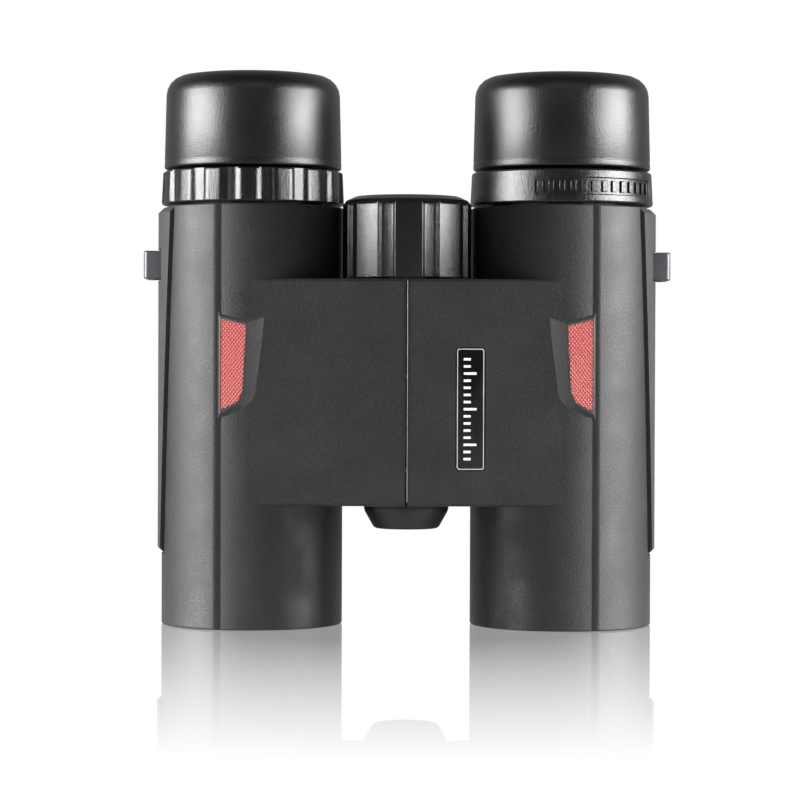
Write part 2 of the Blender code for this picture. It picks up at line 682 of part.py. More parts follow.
def name_plate_block(margin, front):
    """The blank badge let into the right half of the bridge."""
    top = BRIDGE_TOP - PLATE_BELOW_TOP
    left = SEAM / 2 + PLATE_FROM_SEAM
    return block(
        (left - margin, front, top - PLATE_LENGTH - margin),
        (left + PLATE_WIDTH + margin, BARREL_Y - ARMOUR_OUT + PLATE_DEPTH + margin, top + margin),
    )


def side_panel(side):
    """The grip panel on the barrel's outer side, with chamfered ends and a window for the strap lug."""
    low, high = PANEL_BOTTOM, BARREL_TOP - PANEL_BELOW_TOP
    inner = ARMOUR_OUT - PANEL_DEPTH
    outer = ARMOUR_OUT + PANEL_PROUD
    made = panel_patch(inner, outer, 0, low, high)
    for z, lean in ((low, -1), (high, 1)):
        wedge = turned(
            [(outer - PANEL_CHAMFER, z + lean * MM), (outer - PANEL_CHAMFER, z),
             (outer + MM, z - lean * (PANEL_CHAMFER + MM)), (outer + MM, z + lean * MM)],
            FINE, BARREL,
        )
        cut(made, wedge)
    margin = RUNNING
    window = block(
        (AXIS_X + inner - 4 * MM, BARREL_Y - LUG_HALF_WIDTH - margin, LUG_Z - LUG_HEIGHT / 2 - margin),
        (AXIS_X + outer + MM, BARREL_Y + LUG_HALF_WIDTH + margin, LUG_Z + LUG_HEIGHT / 2 + margin),
    )
    cut(made, window)
    return mirrored(made, side)


def strap_lug(side):
    """A bracket with a bar across its end, which the strap loops round."""
    base = AXIS_X + ARMOUR_OUT - PANEL_DEPTH
    end = AXIS_X + ARMOUR_OUT + LUG_REACH
    low, high = LUG_Z - LUG_HEIGHT / 2, LUG_Z + LUG_HEIGHT / 2
    made = block((base, BARREL_Y - LUG_HALF_WIDTH, low), (end, BARREL_Y + LUG_HALF_WIDTH, high))
    slot_half = LUG_HALF_WIDTH - LUG_POST
    slot = block(
        (base + LUG_FOOT, BARREL_Y - slot_half, low - MM),
        (end - LUG_BAR, BARREL_Y + slot_half, high + MM),
    )
    cut(made, slot)
    return mirrored(made, side)


def red_insert(side):
    return mirrored(bezel_prism(INSERT_CORNERS, 0.1 * MM, INSERT_THICKNESS), side)


# ---------------------------------------------------------------- inside a barrel


def objective_cell(centre):
    """The ring that carries the objective doublet, with a seat above the lenses."""
    lens_top = CROWN_EDGE + 2 * LENS_EDGE + 2.2 * MM
    return turned(
        [(CELL_IN, OBJECTIVE_FROM), (CELL_OUT, OBJECTIVE_FROM), (CELL_OUT, lens_top + 1.4 * MM),
         (LIP_RADIUS, lens_top + 1.4 * MM), (LIP_RADIUS, lens_top), (CELL_IN, lens_top)],
        MEDIUM, centre,
    )


def objective_ring(centre):
    """The threaded ring that holds the objective in, seen from the front of the barrel."""
    low = OBJECTIVE_FROM + 0.2 * MM
    return turned(
        [(LIP_RADIUS, low + 0.6 * MM), (LIP_RADIUS + 0.2 * MM, low), (LENS_RADIUS, low),
         (LENS_RADIUS, low + RING_TO_LENS), (LIP_RADIUS, low + RING_TO_LENS)],
        MEDIUM, centre,
    )


def focus_group(side):
    """The focusing lens's cell with the arm and ring that reach it to the focusing rod."""
    half = FOCUS_CELL_HEIGHT / 2
    seat = FOCUS_LENS_RADIUS + GAP
    profile = [
        (seat, FOCUS_Z - half), (SLIDE_OUT, FOCUS_Z - half), (SLIDE_OUT, FOCUS_Z + half),
        (FOCUS_LENS_RADIUS - 0.8 * MM, FOCUS_Z + half), (FOCUS_LENS_RADIUS - 0.8 * MM, FOCUS_Z + half - MM),
        (seat, FOCUS_Z + half - MM),
    ]
    made = turned(profile, MEDIUM, BARREL)
    middle = FOCUS_Z + side * (ARM_THICKNESS + GAP) / 2
    low, high = middle - ARM_THICKNESS / 2, middle + ARM_THICKNESS / 2
    reach = HINGE_TO_AXIS - SLIDE_OUT + 1.5 * MM
    join(made, radial_block(HINGE, ARM_ANGLE, ARM_RING_RADIUS - 1.2 * MM, reach, ARM_WIDTH, low, high))
    join(made, tube(SPOOL_CORE + GAP, ARM_RING_RADIUS, low, high, COARSE, HINGE))
    return mirrored(made, side)


def prism_cage(centre):
    """The block that the prisms sit in, open at the top, with a light hole in its floor."""
    made = disc(FIXED_OUT, CAGE_FROM, CAGE_TO, MEDIUM, centre)
    half_v = PRISM_REACH + PRISM_AIR_GAP + GAP
    half_u = PRISM_HALF_WIDTH + GAP
    pocket = block(
        (centre.x - half_v, centre.y - half_u, CAGE_FROM + CAGE_FLOOR),
        (centre.x + half_v, centre.y + half_u, CAGE_TO + MM),
    )
    cut(made, pocket)
    cut(made, disc(PRISM_HALF_WIDTH - MM, CAGE_FROM - MM, CAGE_FROM + CAGE_FLOOR + MM, COARSE, centre))
    return made


def hull(points):
    """A convex solid through these corners."""
    bm = bmesh.new()
    for point in points:
        bm.verts.new(point)
    bmesh.ops.convex_hull(bm, input=bm.verts)
    return object_from(bm)


def half_penta_prism(centre):
    """The lower prism, with angles of 45, 22.5 and 112.5 degrees and its sharp tip cut off."""
    wide, reach = PRISM_HALF_WIDTH, PRISM_REACH
    silver_rise = (reach - wide) * math.tan(SILVER_ANGLE)
    corners = [(-wide, 0), (wide, 0), (reach, silver_rise), (reach, reach + wide)]
    points = [
        Vector((centre.x + v, centre.y + u, PRISM_FROM + z)) for v, z in corners for u in (-wide, wide)
    ]
    return hull(points)


def roof_prism(centre):
    """The upper prism: a 45 degree wedge whose back is a right-angled roof."""
    wide = PRISM_HALF_WIDTH
    apex_v = PRISM_REACH + PRISM_AIR_GAP
    apex_z = PRISM_REACH + wide + PRISM_AIR_GAP * math.sqrt(2) + PRISM_AIR_GAP
    length = apex_v + wide - PRISM_AIR_GAP
    shrink = wide / math.cos(ROOF_LEAN)
    slope = math.sqrt(0.5)
    points = [(apex_v, -wide, apex_z), (apex_v, wide, apex_z)]
    points += [(apex_v - length, 0, apex_z), (apex_v - length * slope, 0, apex_z - length * slope)]
    for u in (-wide, wide):
        points.append((apex_v - length + shrink, u, apex_z))
        points.append((apex_v - (length - shrink) * slope, u, apex_z - (length - shrink) * slope))
    return hull([Vector((centre.x + v, centre.y + u, PRISM_FROM + z)) for v, u, z in points])


def eyepiece_tube(centre, with_slot):
    """The fixed tube of the eyepiece, with a flange over the ring and the eyecup's guide pins."""
    flange = NECK_RADIUS + FLANGE_REACH
    low = NECK_TO + GAP
    made = turned(
        [(EYE_TUBE_IN, EYE_TUBE_FROM), (EYE_TUBE_OUT, EYE_TUBE_FROM), (EYE_TUBE_OUT, low), (flange, low),
         (flange, low + FLANGE), (EYE_TUBE_OUT, low + FLANGE), (EYE_TUBE_OUT, EYE_TUBE_TO),
         (EYE_TUBE_IN, EYE_TUBE_TO)],
        MEDIUM, centre,
    )
    for i in range(GUIDE_PINS):
        angle = math.tau * i / GUIDE_PINS
        root, tip = EYE_TUBE_OUT - PIN_ROOT, CORE_IN + GUIDE_PIN_REACH
        join(made, radial_pin(centre, angle, root, tip, GUIDE_PIN, GUIDE_Z))
    if with_slot:
        cut(made, diopter_slot(centre, math.pi, EYE_TUBE_OUT + MM))
    return made


def eye_cell(centre, with_pin):
    """The tube that carries the eyepiece lenses. On the diopter side a pin joins it to the ring."""
    shoulder = EYE_LENS_RADIUS - 0.7 * MM
    eye_edge = EYE_CELL_TO - 4 * MM
    made = turned(
        [(EYE_CELL_IN, EYE_CELL_FROM), (EYE_CELL_OUT, EYE_CELL_FROM), (EYE_CELL_OUT, EYE_CELL_TO),
         (EYE_CELL_IN, EYE_CELL_TO), (EYE_CELL_IN, eye_edge - GAP), (shoulder, eye_edge - GAP),
         (shoulder, EYE_CELL_FROM + 5 * MM), (EYE_CELL_IN, EYE_CELL_FROM + 5 * MM)],
        MEDIUM, centre,
    )
    if with_pin:
        root, tip = EYE_CELL_OUT - PIN_ROOT, NECK_RADIUS + DIOPTER_PIN_REACH
        join(made, radial_pin(centre, math.pi, root, tip, DIOPTER_PIN, DIOPTER_Z))
    return made


def ribbed_outline(centre, crest, floor, count, rib_share, bevel_share, phase=0.0):
    """The plan of a ribbed ring: flat-topped ribs with bevelled flanks and flat grooves between them."""
    points = []
    pitch = math.tau / count
    half = pitch * rib_share / 2
    bevel = pitch * bevel_share
    for i in range(count):
        middle = phase + i * pitch
        steps = ((-half - bevel, floor), (-half, crest), (0, crest), (half, crest), (half + bevel, floor))
        for offset, radius in steps:
            angle = middle + offset
            points.append((centre.x + radius * math.cos(angle), centre.y + radius * math.sin(angle)))
    return points


def eyepiece_ring_blank(centre):
    """The stepped ring shape that the diopter ring and the plain ring share."""
    inner = NECK_RADIUS + GAP
    top = RING_OUT - RING_TAPER
    flange = NECK_RADIUS + FLANGE_REACH + GAP
    flange_low = NECK_TO
    return turned(
        [(inner, RING_FROM), (RING_OUT - RING_CHAMFER, RING_FROM), (RING_OUT, RING_FROM + RING_CHAMFER),
         (top, RING_TO - RING_CHAMFER), (top - RING_CHAMFER, RING_TO), (flange, RING_TO),
         (flange, flange_low), (inner, flange_low)],
        FINE, centre,
    )


def diopter_ring(centre):
    """The ribbed ring, with the helical groove inside it that moves the diopter pin."""
    made = eyepiece_ring_blank(centre)
    low, high = RING_FROM + RING_CHAMFER, RING_TO - RING_CHAMFER
    floor = RING_OUT - DIOPTER_RIB_DEPTH
    pitch = math.tau / DIOPTER_RIBS
    half_floor, half_mouth = pitch * DIOPTER_FLOOR_SHARE, pitch * DIOPTER_MOUTH_SHARE
    for i in range(DIOPTER_RIBS):
        middle = -math.pi / 2 + (i + 0.5) * pitch
        inner = [(floor, middle + half_floor), (floor, middle - half_floor)]
        outer = [(RING_OUT + MM, middle - half_mouth), (RING_OUT + MM, middle + half_mouth)]
        plan = [(centre.x + r * math.cos(a), centre.y + r * math.sin(a)) for r, a in outer + inner]
        cut(made, extruded(plan, low, high + MM))
    margin = math.radians(6)
    rise = DIOPTER_TRAVEL / DIOPTER_TURN
    reach = DIOPTER_TURN + margin
    groove = helical_bar(
        centre, NECK_RADIUS - PIN_ROOT, NECK_RADIUS + DIOPTER_PIN_REACH + GAP, DIOPTER_PIN + GAP,
        math.pi - reach, 2 * reach, DIOPTER_Z - rise * reach, 2 * rise * reach, 6,
    )
    return cut(made, groove)


def plain_ring(centre):
    """The fixed ring of the other eyepiece, with a shallow window on its front that holds a row of bars."""
    made = eyepiece_ring_blank(centre)
    deep = RING_OUT - RING_TAPER / 2 - WINDOW_DEPTH
    middle = (RING_FROM + RING_TO) / 2
    outer = arc(centre, RING_OUT + MM, WINDOW_FROM, WINDOW_TO, 11)
    plan = outer + arc(centre, deep, WINDOW_TO, WINDOW_FROM, 11)
    cut(made, extruded(plan, middle - WINDOW_HALF_HEIGHT, middle + WINDOW_HALF_HEIGHT))
    return made


def eyecup_rubber(centre):
    """The soft eyecup: a thick rounded rim over a skirt."""
    top = EYECUP_RADIUS - EYECUP_TAPER
    rounding = [
        (top - EYECUP_ROUND * (1 - math.cos(a)), EYECUP_TO - EYECUP_ROUND * (1 - math.sin(a)))
        for a in (math.pi / 2 * i / 4 for i in range(5))
    ]
    inner = SLEEVE_IN
    lip = 0.9 * MM
    return turned(
        [(EYECUP_RADIUS - EYECUP_WALL, EYECUP_FROM), (EYECUP_RADIUS - lip, EYECUP_FROM),
         (EYECUP_RADIUS, EYECUP_FROM + lip)]
        + rounding
        + [(inner + lip, EYECUP_TO), (inner, EYECUP_TO - lip), (inner, EYECUP_TO - EYECUP_TOP),
           (EYECUP_RADIUS - EYECUP_WALL, EYECUP_TO - EYECUP_TOP)],
        FINE, centre,
    )


def eyecup_core(centre):
    """The stiff ring inside the eyecup, with helical grooves that run on the guide pins."""
    made = tube(CORE_IN, CORE_OUT, EYECUP_FROM + GAP, CORE_TO, MEDIUM, centre)
    margin = math.radians(6)
    slope = EYECUP_RISE / EYECUP_TURN
    half = GUIDE_PIN / math.cos(math.atan(slope / CORE_IN)) + GAP
    for i in range(GUIDE_PINS):
        pin = math.tau * i / GUIDE_PINS
        start = pin - EYECUP_TURN - margin
        turn = EYECUP_TURN + 2 * margin
        groove = helical_bar(
            centre, CORE_IN - PIN_ROOT, CORE_IN + GUIDE_PIN_REACH + GAP, half,
            start, turn, GUIDE_Z + (start - pin) * slope, turn * slope, 7,
        )
        cut(made, groove)
    return made


def eyecup_sleeve(centre):
    """The sleeve that rises with the eyecup but can't turn, because the pins run in its upright slots."""
    made = tube(SLEEVE_IN, SLEEVE_OUT, EYECUP_FROM + GAP, CORE_TO, MEDIUM, centre)
    half = GUIDE_PIN + GAP
    for i in range(GUIDE_PINS):
        angle = math.tau * i / GUIDE_PINS
        low = GUIDE_Z - EYECUP_RISE - half
        cut(made, radial_block(centre, angle, SLEEVE_IN - MM, SLEEVE_OUT + MM, 2 * half, low, GUIDE_Z + half))
    return made


# ---------------------------------------------------------------- the hinge's middle


def tripod_socket():
    """The threaded bush in the lowest knuckle, whose top end is the lower pivot."""
    top = CHAMBER_FROM - 0.4 * MM
    depth = LOWER_TO - LOWER_FROM
    return turned(
        [(0, LOWER_FROM + depth), (SOCKET_BORE, LOWER_FROM + depth - MM), (SOCKET_BORE, LOWER_FROM),
         (SOCKET_RADIUS, LOWER_FROM), (SOCKET_RADIUS, top), (0, top)],
        COARSE, HINGE,
    )


def tripod_cap():
    """The screw-in cover over the tripod socket, with a recess for its sealing ring."""
    low = CAP_TO - CAP_HEIGHT
    stub = SOCKET_BORE - GAP
    seat = CAP_TO - SEAL_HEIGHT - GAP
    stub_end = CAP_TO + STUB_LENGTH
    return turned(
        [(0, low), (CAP_TIP_RADIUS - 0.6 * MM, low), (CAP_TIP_RADIUS, low + 0.4 * MM),
         (CAP_RADIUS, CAP_TO - CAP_STRAIGHT), (CAP_RADIUS, CAP_TO), (SEAL_RADIUS + GAP, CAP_TO),
         (SEAL_RADIUS + GAP, seat), (stub, seat), (stub, stub_end), (0, stub_end)],
        MEDIUM, HINGE,
    )


def hinge_axle():
    """The hollow axle, flanged at the bottom, with a slot for the focusing rod's key."""
    made = turned(
        [(AXLE_BORE, FLANGE_FROM), (AXLE_FLANGE_RADIUS, FLANGE_FROM), (AXLE_FLANGE_RADIUS, FLANGE_TO),
         (AXLE_RADIUS, FLANGE_TO), (AXLE_RADIUS, AXLE_TO), (AXLE_BORE, AXLE_TO)],
        COARSE, HINGE,
    )
    low, high = key_span()
    margin = FOCUS_TRAVEL + GAP
    slot_out, slot_width = AXLE_BORE + KEY_REACH + GAP, KEY_WIDTH + 2 * GAP
    cut(made, radial_block(HINGE, math.pi / 2, 0, slot_out, slot_width, low - margin, high + margin))
    return made


def key_span():
    """Lowest and highest point of the key on the focusing rod."""
    middle = (UPPER_FROM + UPPER_TO) / 2
    return middle - KEY_LENGTH / 2, middle + KEY_LENGTH / 2


def focus_rod():
    """The rod that the wheel raises and lowers: a spool at its foot, a key, and a coarse thread on top."""
    low, high = FOCUS_Z - SPOOL_HALF, FOCUS_Z + SPOOL_HALF
    made = turned(
        [(0, low), (SPOOL_RADIUS, low), (SPOOL_RADIUS, low + SPOOL_FLANGE), (SPOOL_CORE, low + SPOOL_FLANGE),
         (SPOOL_CORE, high - SPOOL_FLANGE), (SPOOL_RADIUS, high - SPOOL_FLANGE), (SPOOL_RADIUS, high),
         (ROD_RADIUS, high), (ROD_RADIUS, ROD_TO), (0, ROD_TO)],
        COARSE, HINGE,
    )
    key_low, key_high = key_span()
    key_out = AXLE_BORE + KEY_REACH
    join(made, radial_block(HINGE, math.pi / 2, ROD_RADIUS - MM, key_out, KEY_WIDTH, key_low, key_high))
    span = 2 * (FOCUS_TRAVEL + 1.2 * MM)
    turn = span / FOCUS_LEAD * math.tau
    thread = helical_bar(
        HINGE, ROD_RADIUS - THREAD_DEPTH, ROD_RADIUS + MM, THREAD_HALF,
        -math.pi / 2 - turn / 2, turn, FOLLOWER_Z - span / 2, span, 26,
    )
    return cut(made, thread)


def focus_nut():
    """The brass nut in the wheel, with the tooth that runs in the rod's thread."""
    made = tube(ROD_RADIUS + GAP, NUT_SLEEVE_RADIUS, SLEEVE_NUT_FROM, SLEEVE_NUT_TO, COARSE, HINGE)
    half = THREAD_HALF - GAP
    tooth = radial_block(
        HINGE, -math.pi / 2, ROD_RADIUS - THREAD_DEPTH + GAP, ROD_RADIUS + MM, 0.9 * MM,
        FOLLOWER_Z - half, FOLLOWER_Z + half,
    )
    return join(made, tooth)


def focus_wheel():
    """The focusing wheel: broad ribs under a rounded rim, hollow below, with a hub for the nut."""
    crest = WHEEL_RADIUS - 0.1 * MM
    floor = WHEEL_RADIUS - WHEEL_RIB_DEPTH
    rim_from = WHEEL_TO - WHEEL_RIM
    phase = WHEEL_RIB_PHASE - math.pi / 2
    plan = ribbed_outline(HINGE, crest, floor, WHEEL_RIBS, WHEEL_RIB_SHARE, WHEEL_FLANK_SHARE, phase)
    made = extruded(plan, WHEEL_FROM, rim_from + MM / 2)
    rim = turned(
        [(0, rim_from), (WHEEL_RADIUS, rim_from), (WHEEL_RADIUS - 0.15 * MM, WHEEL_TO - 1.2 * MM),
         (WHEEL_RADIUS - 0.8 * MM, WHEEL_TO - 0.35 * MM), (WHEEL_RADIUS - 2.2 * MM, WHEEL_TO), (0, WHEEL_TO)],
        FINE, HINGE,
    )
    join(made, rim)
    inside = floor - WHEEL_WALL
    hub = NUT_SLEEVE_RADIUS + GAP
    hub_wall = 1.6 * MM
    hollow_to = rim_from - 0.6 * MM
    nut_room = SLEEVE_NUT_FROM - GAP
    hollow = turned(
        [(0, WHEEL_FROM - MM), (inside, WHEEL_FROM - MM), (inside, hollow_to), (hub + hub_wall, hollow_to),
         (hub + hub_wall, nut_room), (0, nut_room)],
        MEDIUM, HINGE,
    )
    cut(made, hollow)
    cut(made, disc(hub, nut_room - MM, SLEEVE_NUT_TO + GAP, COARSE, HINGE))
    rod_room = min(ROD_TO + FOCUS_TRAVEL + GAP, WHEEL_TO - WHEEL_CAP - MM)
    cut(made, disc(ROD_RADIUS + GAP, nut_room - MM, rod_room, COARSE, HINGE))
    cut(made, disc(WHEEL_CAP_RADIUS + GAP, WHEEL_TO - WHEEL_CAP - GAP, WHEEL_TO + MM, MEDIUM, HINGE))
    return made


def hinge_nut():
    """The hexagon nut that clamps the hinge."""
    return cut(
        disc(NUT_RADIUS, NUT_FROM, NUT_TO, 6, HINGE),
        disc(AXLE_RADIUS + GAP, NUT_FROM - MM, NUT_TO + MM, COARSE, HINGE),
    )


# ---------------------------------------------------------------- assembly


def build_barrel(side, half, name):
    """Everything that is fixed in one barrel."""
    centre = Vector((side * AXIS_X, BARREL_Y, 0))
    half.add(housing(side), name + "_housing", "casting")
    half.add(armour(side), name + "_armour", "armour_rubber")
    half.add(side_panel(side), name + "_side_grip", "grip_rubber")
    half.add(red_insert(side), name + "_red_insert", "red_insert")
    half.add(strap_lug(side), name + "_strap_lug", "lug_metal")
    half.add(objective_cell(centre), name + "_objective_cell", "black_aluminium", centre)
    half.add(objective_ring(centre), name + "_objective_ring", "black_aluminium", centre)
    crown = lens(LENS_RADIUS, LENS_EDGE, CROWN_CURVE, CEMENT_CURVE, CROWN_EDGE, centre)
    half.add(crown, name + "_objective_crown_lens", "coated_glass", centre)
    half.add(flint_lens(centre), name + "_objective_flint_lens", "coated_glass", centre)
    half.add(prism_cage(centre), name + "_prism_cage", "inner_plastic", centre)
    half.add(half_penta_prism(centre), name + "_half_penta_prism", "prism_glass", centre)
    half.add(roof_prism(centre), name + "_roof_prism", "prism_glass", centre)
    plate = tube(PRISM_HALF_WIDTH - 0.5 * MM, FIXED_OUT, CAGE_TO + GAP, CAGE_TO + GAP + PLATE, MEDIUM, centre)
    half.add(plate, name + "_field_stop_plate", "inner_plastic", centre)
    half.add(eyepiece_tube(centre, side < 0), name + "_eyepiece_tube", "black_aluminium", centre)


def flint_lens(centre):
    """The second objective element, hollow below to follow the first one's back."""
    low = CROWN_EDGE + LENS_EDGE + GAP
    cement_sag = LENS_RADIUS**2 / (2 * CEMENT_CURVE)
    flint_sag = LENS_RADIUS**2 / (2 * FLINT_CURVE)
    edge = cement_sag + FLINT_CENTRE - flint_sag
    return lens(LENS_RADIUS, edge, -CEMENT_CURVE, FLINT_CURVE, low, centre)


def build_eye_lenses(body, side, name):
    """The eyepiece's lens cell, its two lenses and the ring that holds them."""
    centre = Vector((side * AXIS_X, BARREL_Y, 0))
    body.add(eye_cell(centre, side < 0), name + "_eyepiece_cell", "black_aluminium", centre)
    field = lens(EYE_LENS_RADIUS, LENS_EDGE, EYE_LENS_CURVE, 0, EYE_CELL_FROM + 2.6 * MM, centre)
    body.add(field, name + "_field_lens", "coated_glass", centre)
    eye_from = EYE_CELL_TO - 4 * MM
    eye = lens(EYE_LENS_RADIUS, LENS_EDGE, 0, EYE_LENS_CURVE, eye_from, centre)
    body.add(eye, name + "_eye_lens", "coated_glass", centre)
    inner, outer = EYE_LENS_RADIUS - LENS_LIP, EYE_LENS_RADIUS
    low = eye_from + LENS_EDGE + GAP
    ring = tube(inner, outer, low + 0.2 * MM, EYE_CELL_TO - 0.2 * MM, MEDIUM, centre)
    body.add(ring, name + "_eye_lens_ring", "black_aluminium", centre)


def build_focus_group(body, side, name):
    """The focusing lens with its cell and arm."""
    centre = Vector((side * AXIS_X, BARREL_Y, 0))
    body.add(focus_group(side), name + "_focus_arm", "black_aluminium", centre)
    low = FOCUS_Z - LENS_EDGE / 2
    body.add(lens(FOCUS_LENS_RADIUS, LENS_EDGE, -FOCUS_LENS_CURVE, FOCUS_LENS_CURVE, low, centre),
             name + "_focus_lens", "coated_glass", centre)


def build_eyecup(half, side, name):
    """The eyecup's sleeve, which only rises, and the cup on it, which also turns."""
    centre = Vector((side * AXIS_X, BARREL_Y, 0))
    slider = Body(name + "_eyecup_slider", centre, half)
    cup = Body(name + "_eyecup", centre, slider)
    slider.add(eyecup_sleeve(centre), name + "_eyecup_sleeve", "black_aluminium")
    cup.add(eyecup_core(centre), name + "_eyecup_core", "inner_plastic")
    cup.add(eyecup_rubber(centre), name + "_eyecup_rubber", "eyecup_rubber")


def build_hinge(half):
    """What stays with the right half on the hinge's axis."""
    half.add(hinge_axle(), "hinge_axle", "steel")
    half.add(hinge_nut(), "hinge_nut", "steel")
    half.add(tripod_socket(), "tripod_socket", "brass")
    washer_in, washer_out = SOCKET_RADIUS + 2 * GAP, KNUCKLE_RADIUS - 0.2 * MM
    half.add(tube(washer_in, washer_out, LOWER_TO + GAP, LOWER_TO + GAP + WASHER, COARSE, HINGE),
             "lower_friction_washer", "nylon")
    half.add(tube(washer_in, washer_out, MIDDLE_TO + GAP, MIDDLE_TO + GAP + WASHER, COARSE, HINGE),
             "upper_friction_washer", "nylon")


def main():
    clear_scene()
    right_half = Body("right_half", HINGE)
    left_half = Body("left_half", HINGE, right_half)
    for side, half, name in ((1, right_half, "right"), (-1, left_half, "left")):
        centre = Vector((side * AXIS_X, BARREL_Y, 0))
        build_barrel(side, half, name)
        build_focus_group(Body(name + "_focus_group", centre, half), side, name)
        build_eyecup(half, side, name)
    left_centre = Vector((-AXIS_X, BARREL_Y, 0))
    right_centre = Vector((AXIS_X, BARREL_Y, 0))
    build_eye_lenses(right_half, 1, "right")
    build_eye_lenses(Body("diopter_cell", left_centre, left_half), -1, "left")
    ring_body = Body("diopter_ring", left_centre, left_half)
    ring_body.add(diopter_ring(left_centre), "diopter_ring", "gloss_plastic")
    right_half.add(plain_ring(right_centre), "plain_eyepiece_ring", "gloss_plastic", right_centre)
    right_half.add(name_plate_block(0, BARREL_Y - ARMOUR_OUT + 0.1 * MM), "name_plate", "gloss_plastic")
    build_hinge(right_half)
    wheel = Body("focus_wheel", HINGE, right_half)
    wheel.add(focus_wheel(), "focus_wheel", "gloss_plastic")
    wheel_cap = disc(WHEEL_CAP_RADIUS, WHEEL_TO - WHEEL_CAP, WHEEL_TO - 0.1 * MM, MEDIUM, HINGE)
    wheel.add(wheel_cap, "focus_wheel_cap", "gloss_plastic")
    wheel.add(focus_nut(), "focus_nut", "brass")
    rod = Body("focus_rod", HINGE, right_half)
    rod.add(focus_rod(), "focus_rod", "steel")
    seal = Body("tripod_cap_seal", HINGE, right_half)
    seal.add(tube(SOCKET_BORE, SEAL_RADIUS, CAP_TO - SEAL_HEIGHT, CAP_TO, COARSE, HINGE), "tripod_cap_seal",
             "eyecup_rubber")
    Body("tripod_cap", HINGE, seal).add(tripod_cap(), "tripod_cap", "inner_plastic")


main()
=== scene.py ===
# Compact roof-prism binoculars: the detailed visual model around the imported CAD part.
# Lengths are in metres, written as a number times mm. +Z is up along the barrels, -Y the bridge's front.

import json
import math

import bmesh
import bpy
from mathutils import Matrix, Vector

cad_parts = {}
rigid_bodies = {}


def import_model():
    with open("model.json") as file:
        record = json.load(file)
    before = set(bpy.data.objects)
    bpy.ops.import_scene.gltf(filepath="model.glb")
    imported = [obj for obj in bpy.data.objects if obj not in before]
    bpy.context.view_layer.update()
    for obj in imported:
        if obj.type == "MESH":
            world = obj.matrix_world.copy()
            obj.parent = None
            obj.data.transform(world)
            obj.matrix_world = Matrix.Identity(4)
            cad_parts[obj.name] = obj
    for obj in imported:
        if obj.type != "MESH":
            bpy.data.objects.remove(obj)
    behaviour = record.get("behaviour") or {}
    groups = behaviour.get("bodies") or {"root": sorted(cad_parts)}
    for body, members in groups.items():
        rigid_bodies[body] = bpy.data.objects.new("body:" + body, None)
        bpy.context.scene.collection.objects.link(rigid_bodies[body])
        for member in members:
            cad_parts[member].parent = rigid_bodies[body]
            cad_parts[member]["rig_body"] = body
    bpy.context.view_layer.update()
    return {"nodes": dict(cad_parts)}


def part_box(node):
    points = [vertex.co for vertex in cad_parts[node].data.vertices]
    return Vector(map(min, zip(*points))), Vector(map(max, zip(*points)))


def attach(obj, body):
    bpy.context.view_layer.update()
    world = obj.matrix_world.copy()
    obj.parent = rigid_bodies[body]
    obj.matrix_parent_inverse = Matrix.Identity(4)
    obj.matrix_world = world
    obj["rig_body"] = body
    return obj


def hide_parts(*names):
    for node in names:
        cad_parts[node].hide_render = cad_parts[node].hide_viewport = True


mm = 0.001
weld = 0.0005 * mm  # points this close become one
hair = 0.001 * mm  # a distance that counts as none
past = 1 * mm  # how far a cutter reaches past the surface that it opens

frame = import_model()


# Where things are, read from the CAD part

def centreOf(node):
    low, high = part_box(node)
    return (low + high) / 2


def axisOf(node):
    middle = centreOf(node)
    return Vector((middle.x, middle.y, 0))


rightAxis = axisOf("right_objective_ring")
leftAxis = axisOf("left_objective_ring")
hingeAxis = axisOf("focus_wheel_cap")
sides = (("right", 1, rightAxis), ("left", -1, leftAxis))
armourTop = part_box("right_armour")[1].z


# Small modelling helpers

def addWire(bm, points, closed):
    # points are (x, z, fillet): the fillet rounds that corner
    corners = [bm.verts.new((x, 0, z)) for x, z, _ in points]
    for start, end in zip(corners, corners[1:]):
        bm.edges.new((start, end))
    if closed:
        bm.edges.new((corners[-1], corners[0]))
    for corner, (_, _, fillet) in zip(corners, points):
        if fillet:
            bmesh.ops.bevel(
                bm, geom=[corner], offset=fillet, offset_type="OFFSET", segments=5,
                profile=0.5, affect="VERTICES", material=-1,
            )


def lathe(profile, axis, steps, turn=math.tau):
    # A profile that starts and ends on the axis gives a solid, any other is joined into a ring
    bm = bmesh.new()
    addWire(bm, profile, closed=min(r for r, _, _ in profile) > 0)
    full = turn == math.tau
    bmesh.ops.spin(
        bm, geom=bm.verts[:] + bm.edges[:], axis=(0, 0, 1), cent=(0, 0, 0),
        angle=turn, steps=steps, use_merge=full,
    )
    bmesh.ops.remove_doubles(bm, verts=bm.verts, dist=weld)
    if not full:
        bmesh.ops.holes_fill(bm, edges=bm.edges, sides=0)
    # A flat end is one face, which Booleans prefer to a fan
    hubs = [v for v in bm.verts if v.co.xy.length < hair and isFlat(v)]
    bmesh.ops.dissolve_verts(bm, verts=hubs)
    bmesh.ops.translate(bm, verts=bm.verts, vec=axis)
    return bm


def isFlat(vert):
    return all(abs(e.other_vert(vert).co.z - vert.co.z) < hair for e in vert.link_edges)


def cylinder(radius, low, high, axis, steps):
    return lathe([(0, low, 0), (radius, low, 0), (radius, high, 0), (0, high, 0)], axis, steps)


def prism(outline, low, high):
    # A plate with this outline of (x, y), from height low to high
    bm = bmesh.new()
    face = bm.faces.new([bm.verts.new((x, y, low)) for x, y in outline])
    grown = bmesh.ops.extrude_face_region(bm, geom=[face])["geom"]
    tops = [g for g in grown if isinstance(g, bmesh.types.BMVert)]
    bmesh.ops.translate(bm, verts=tops, vec=(0, 0, high - low))
    return bm


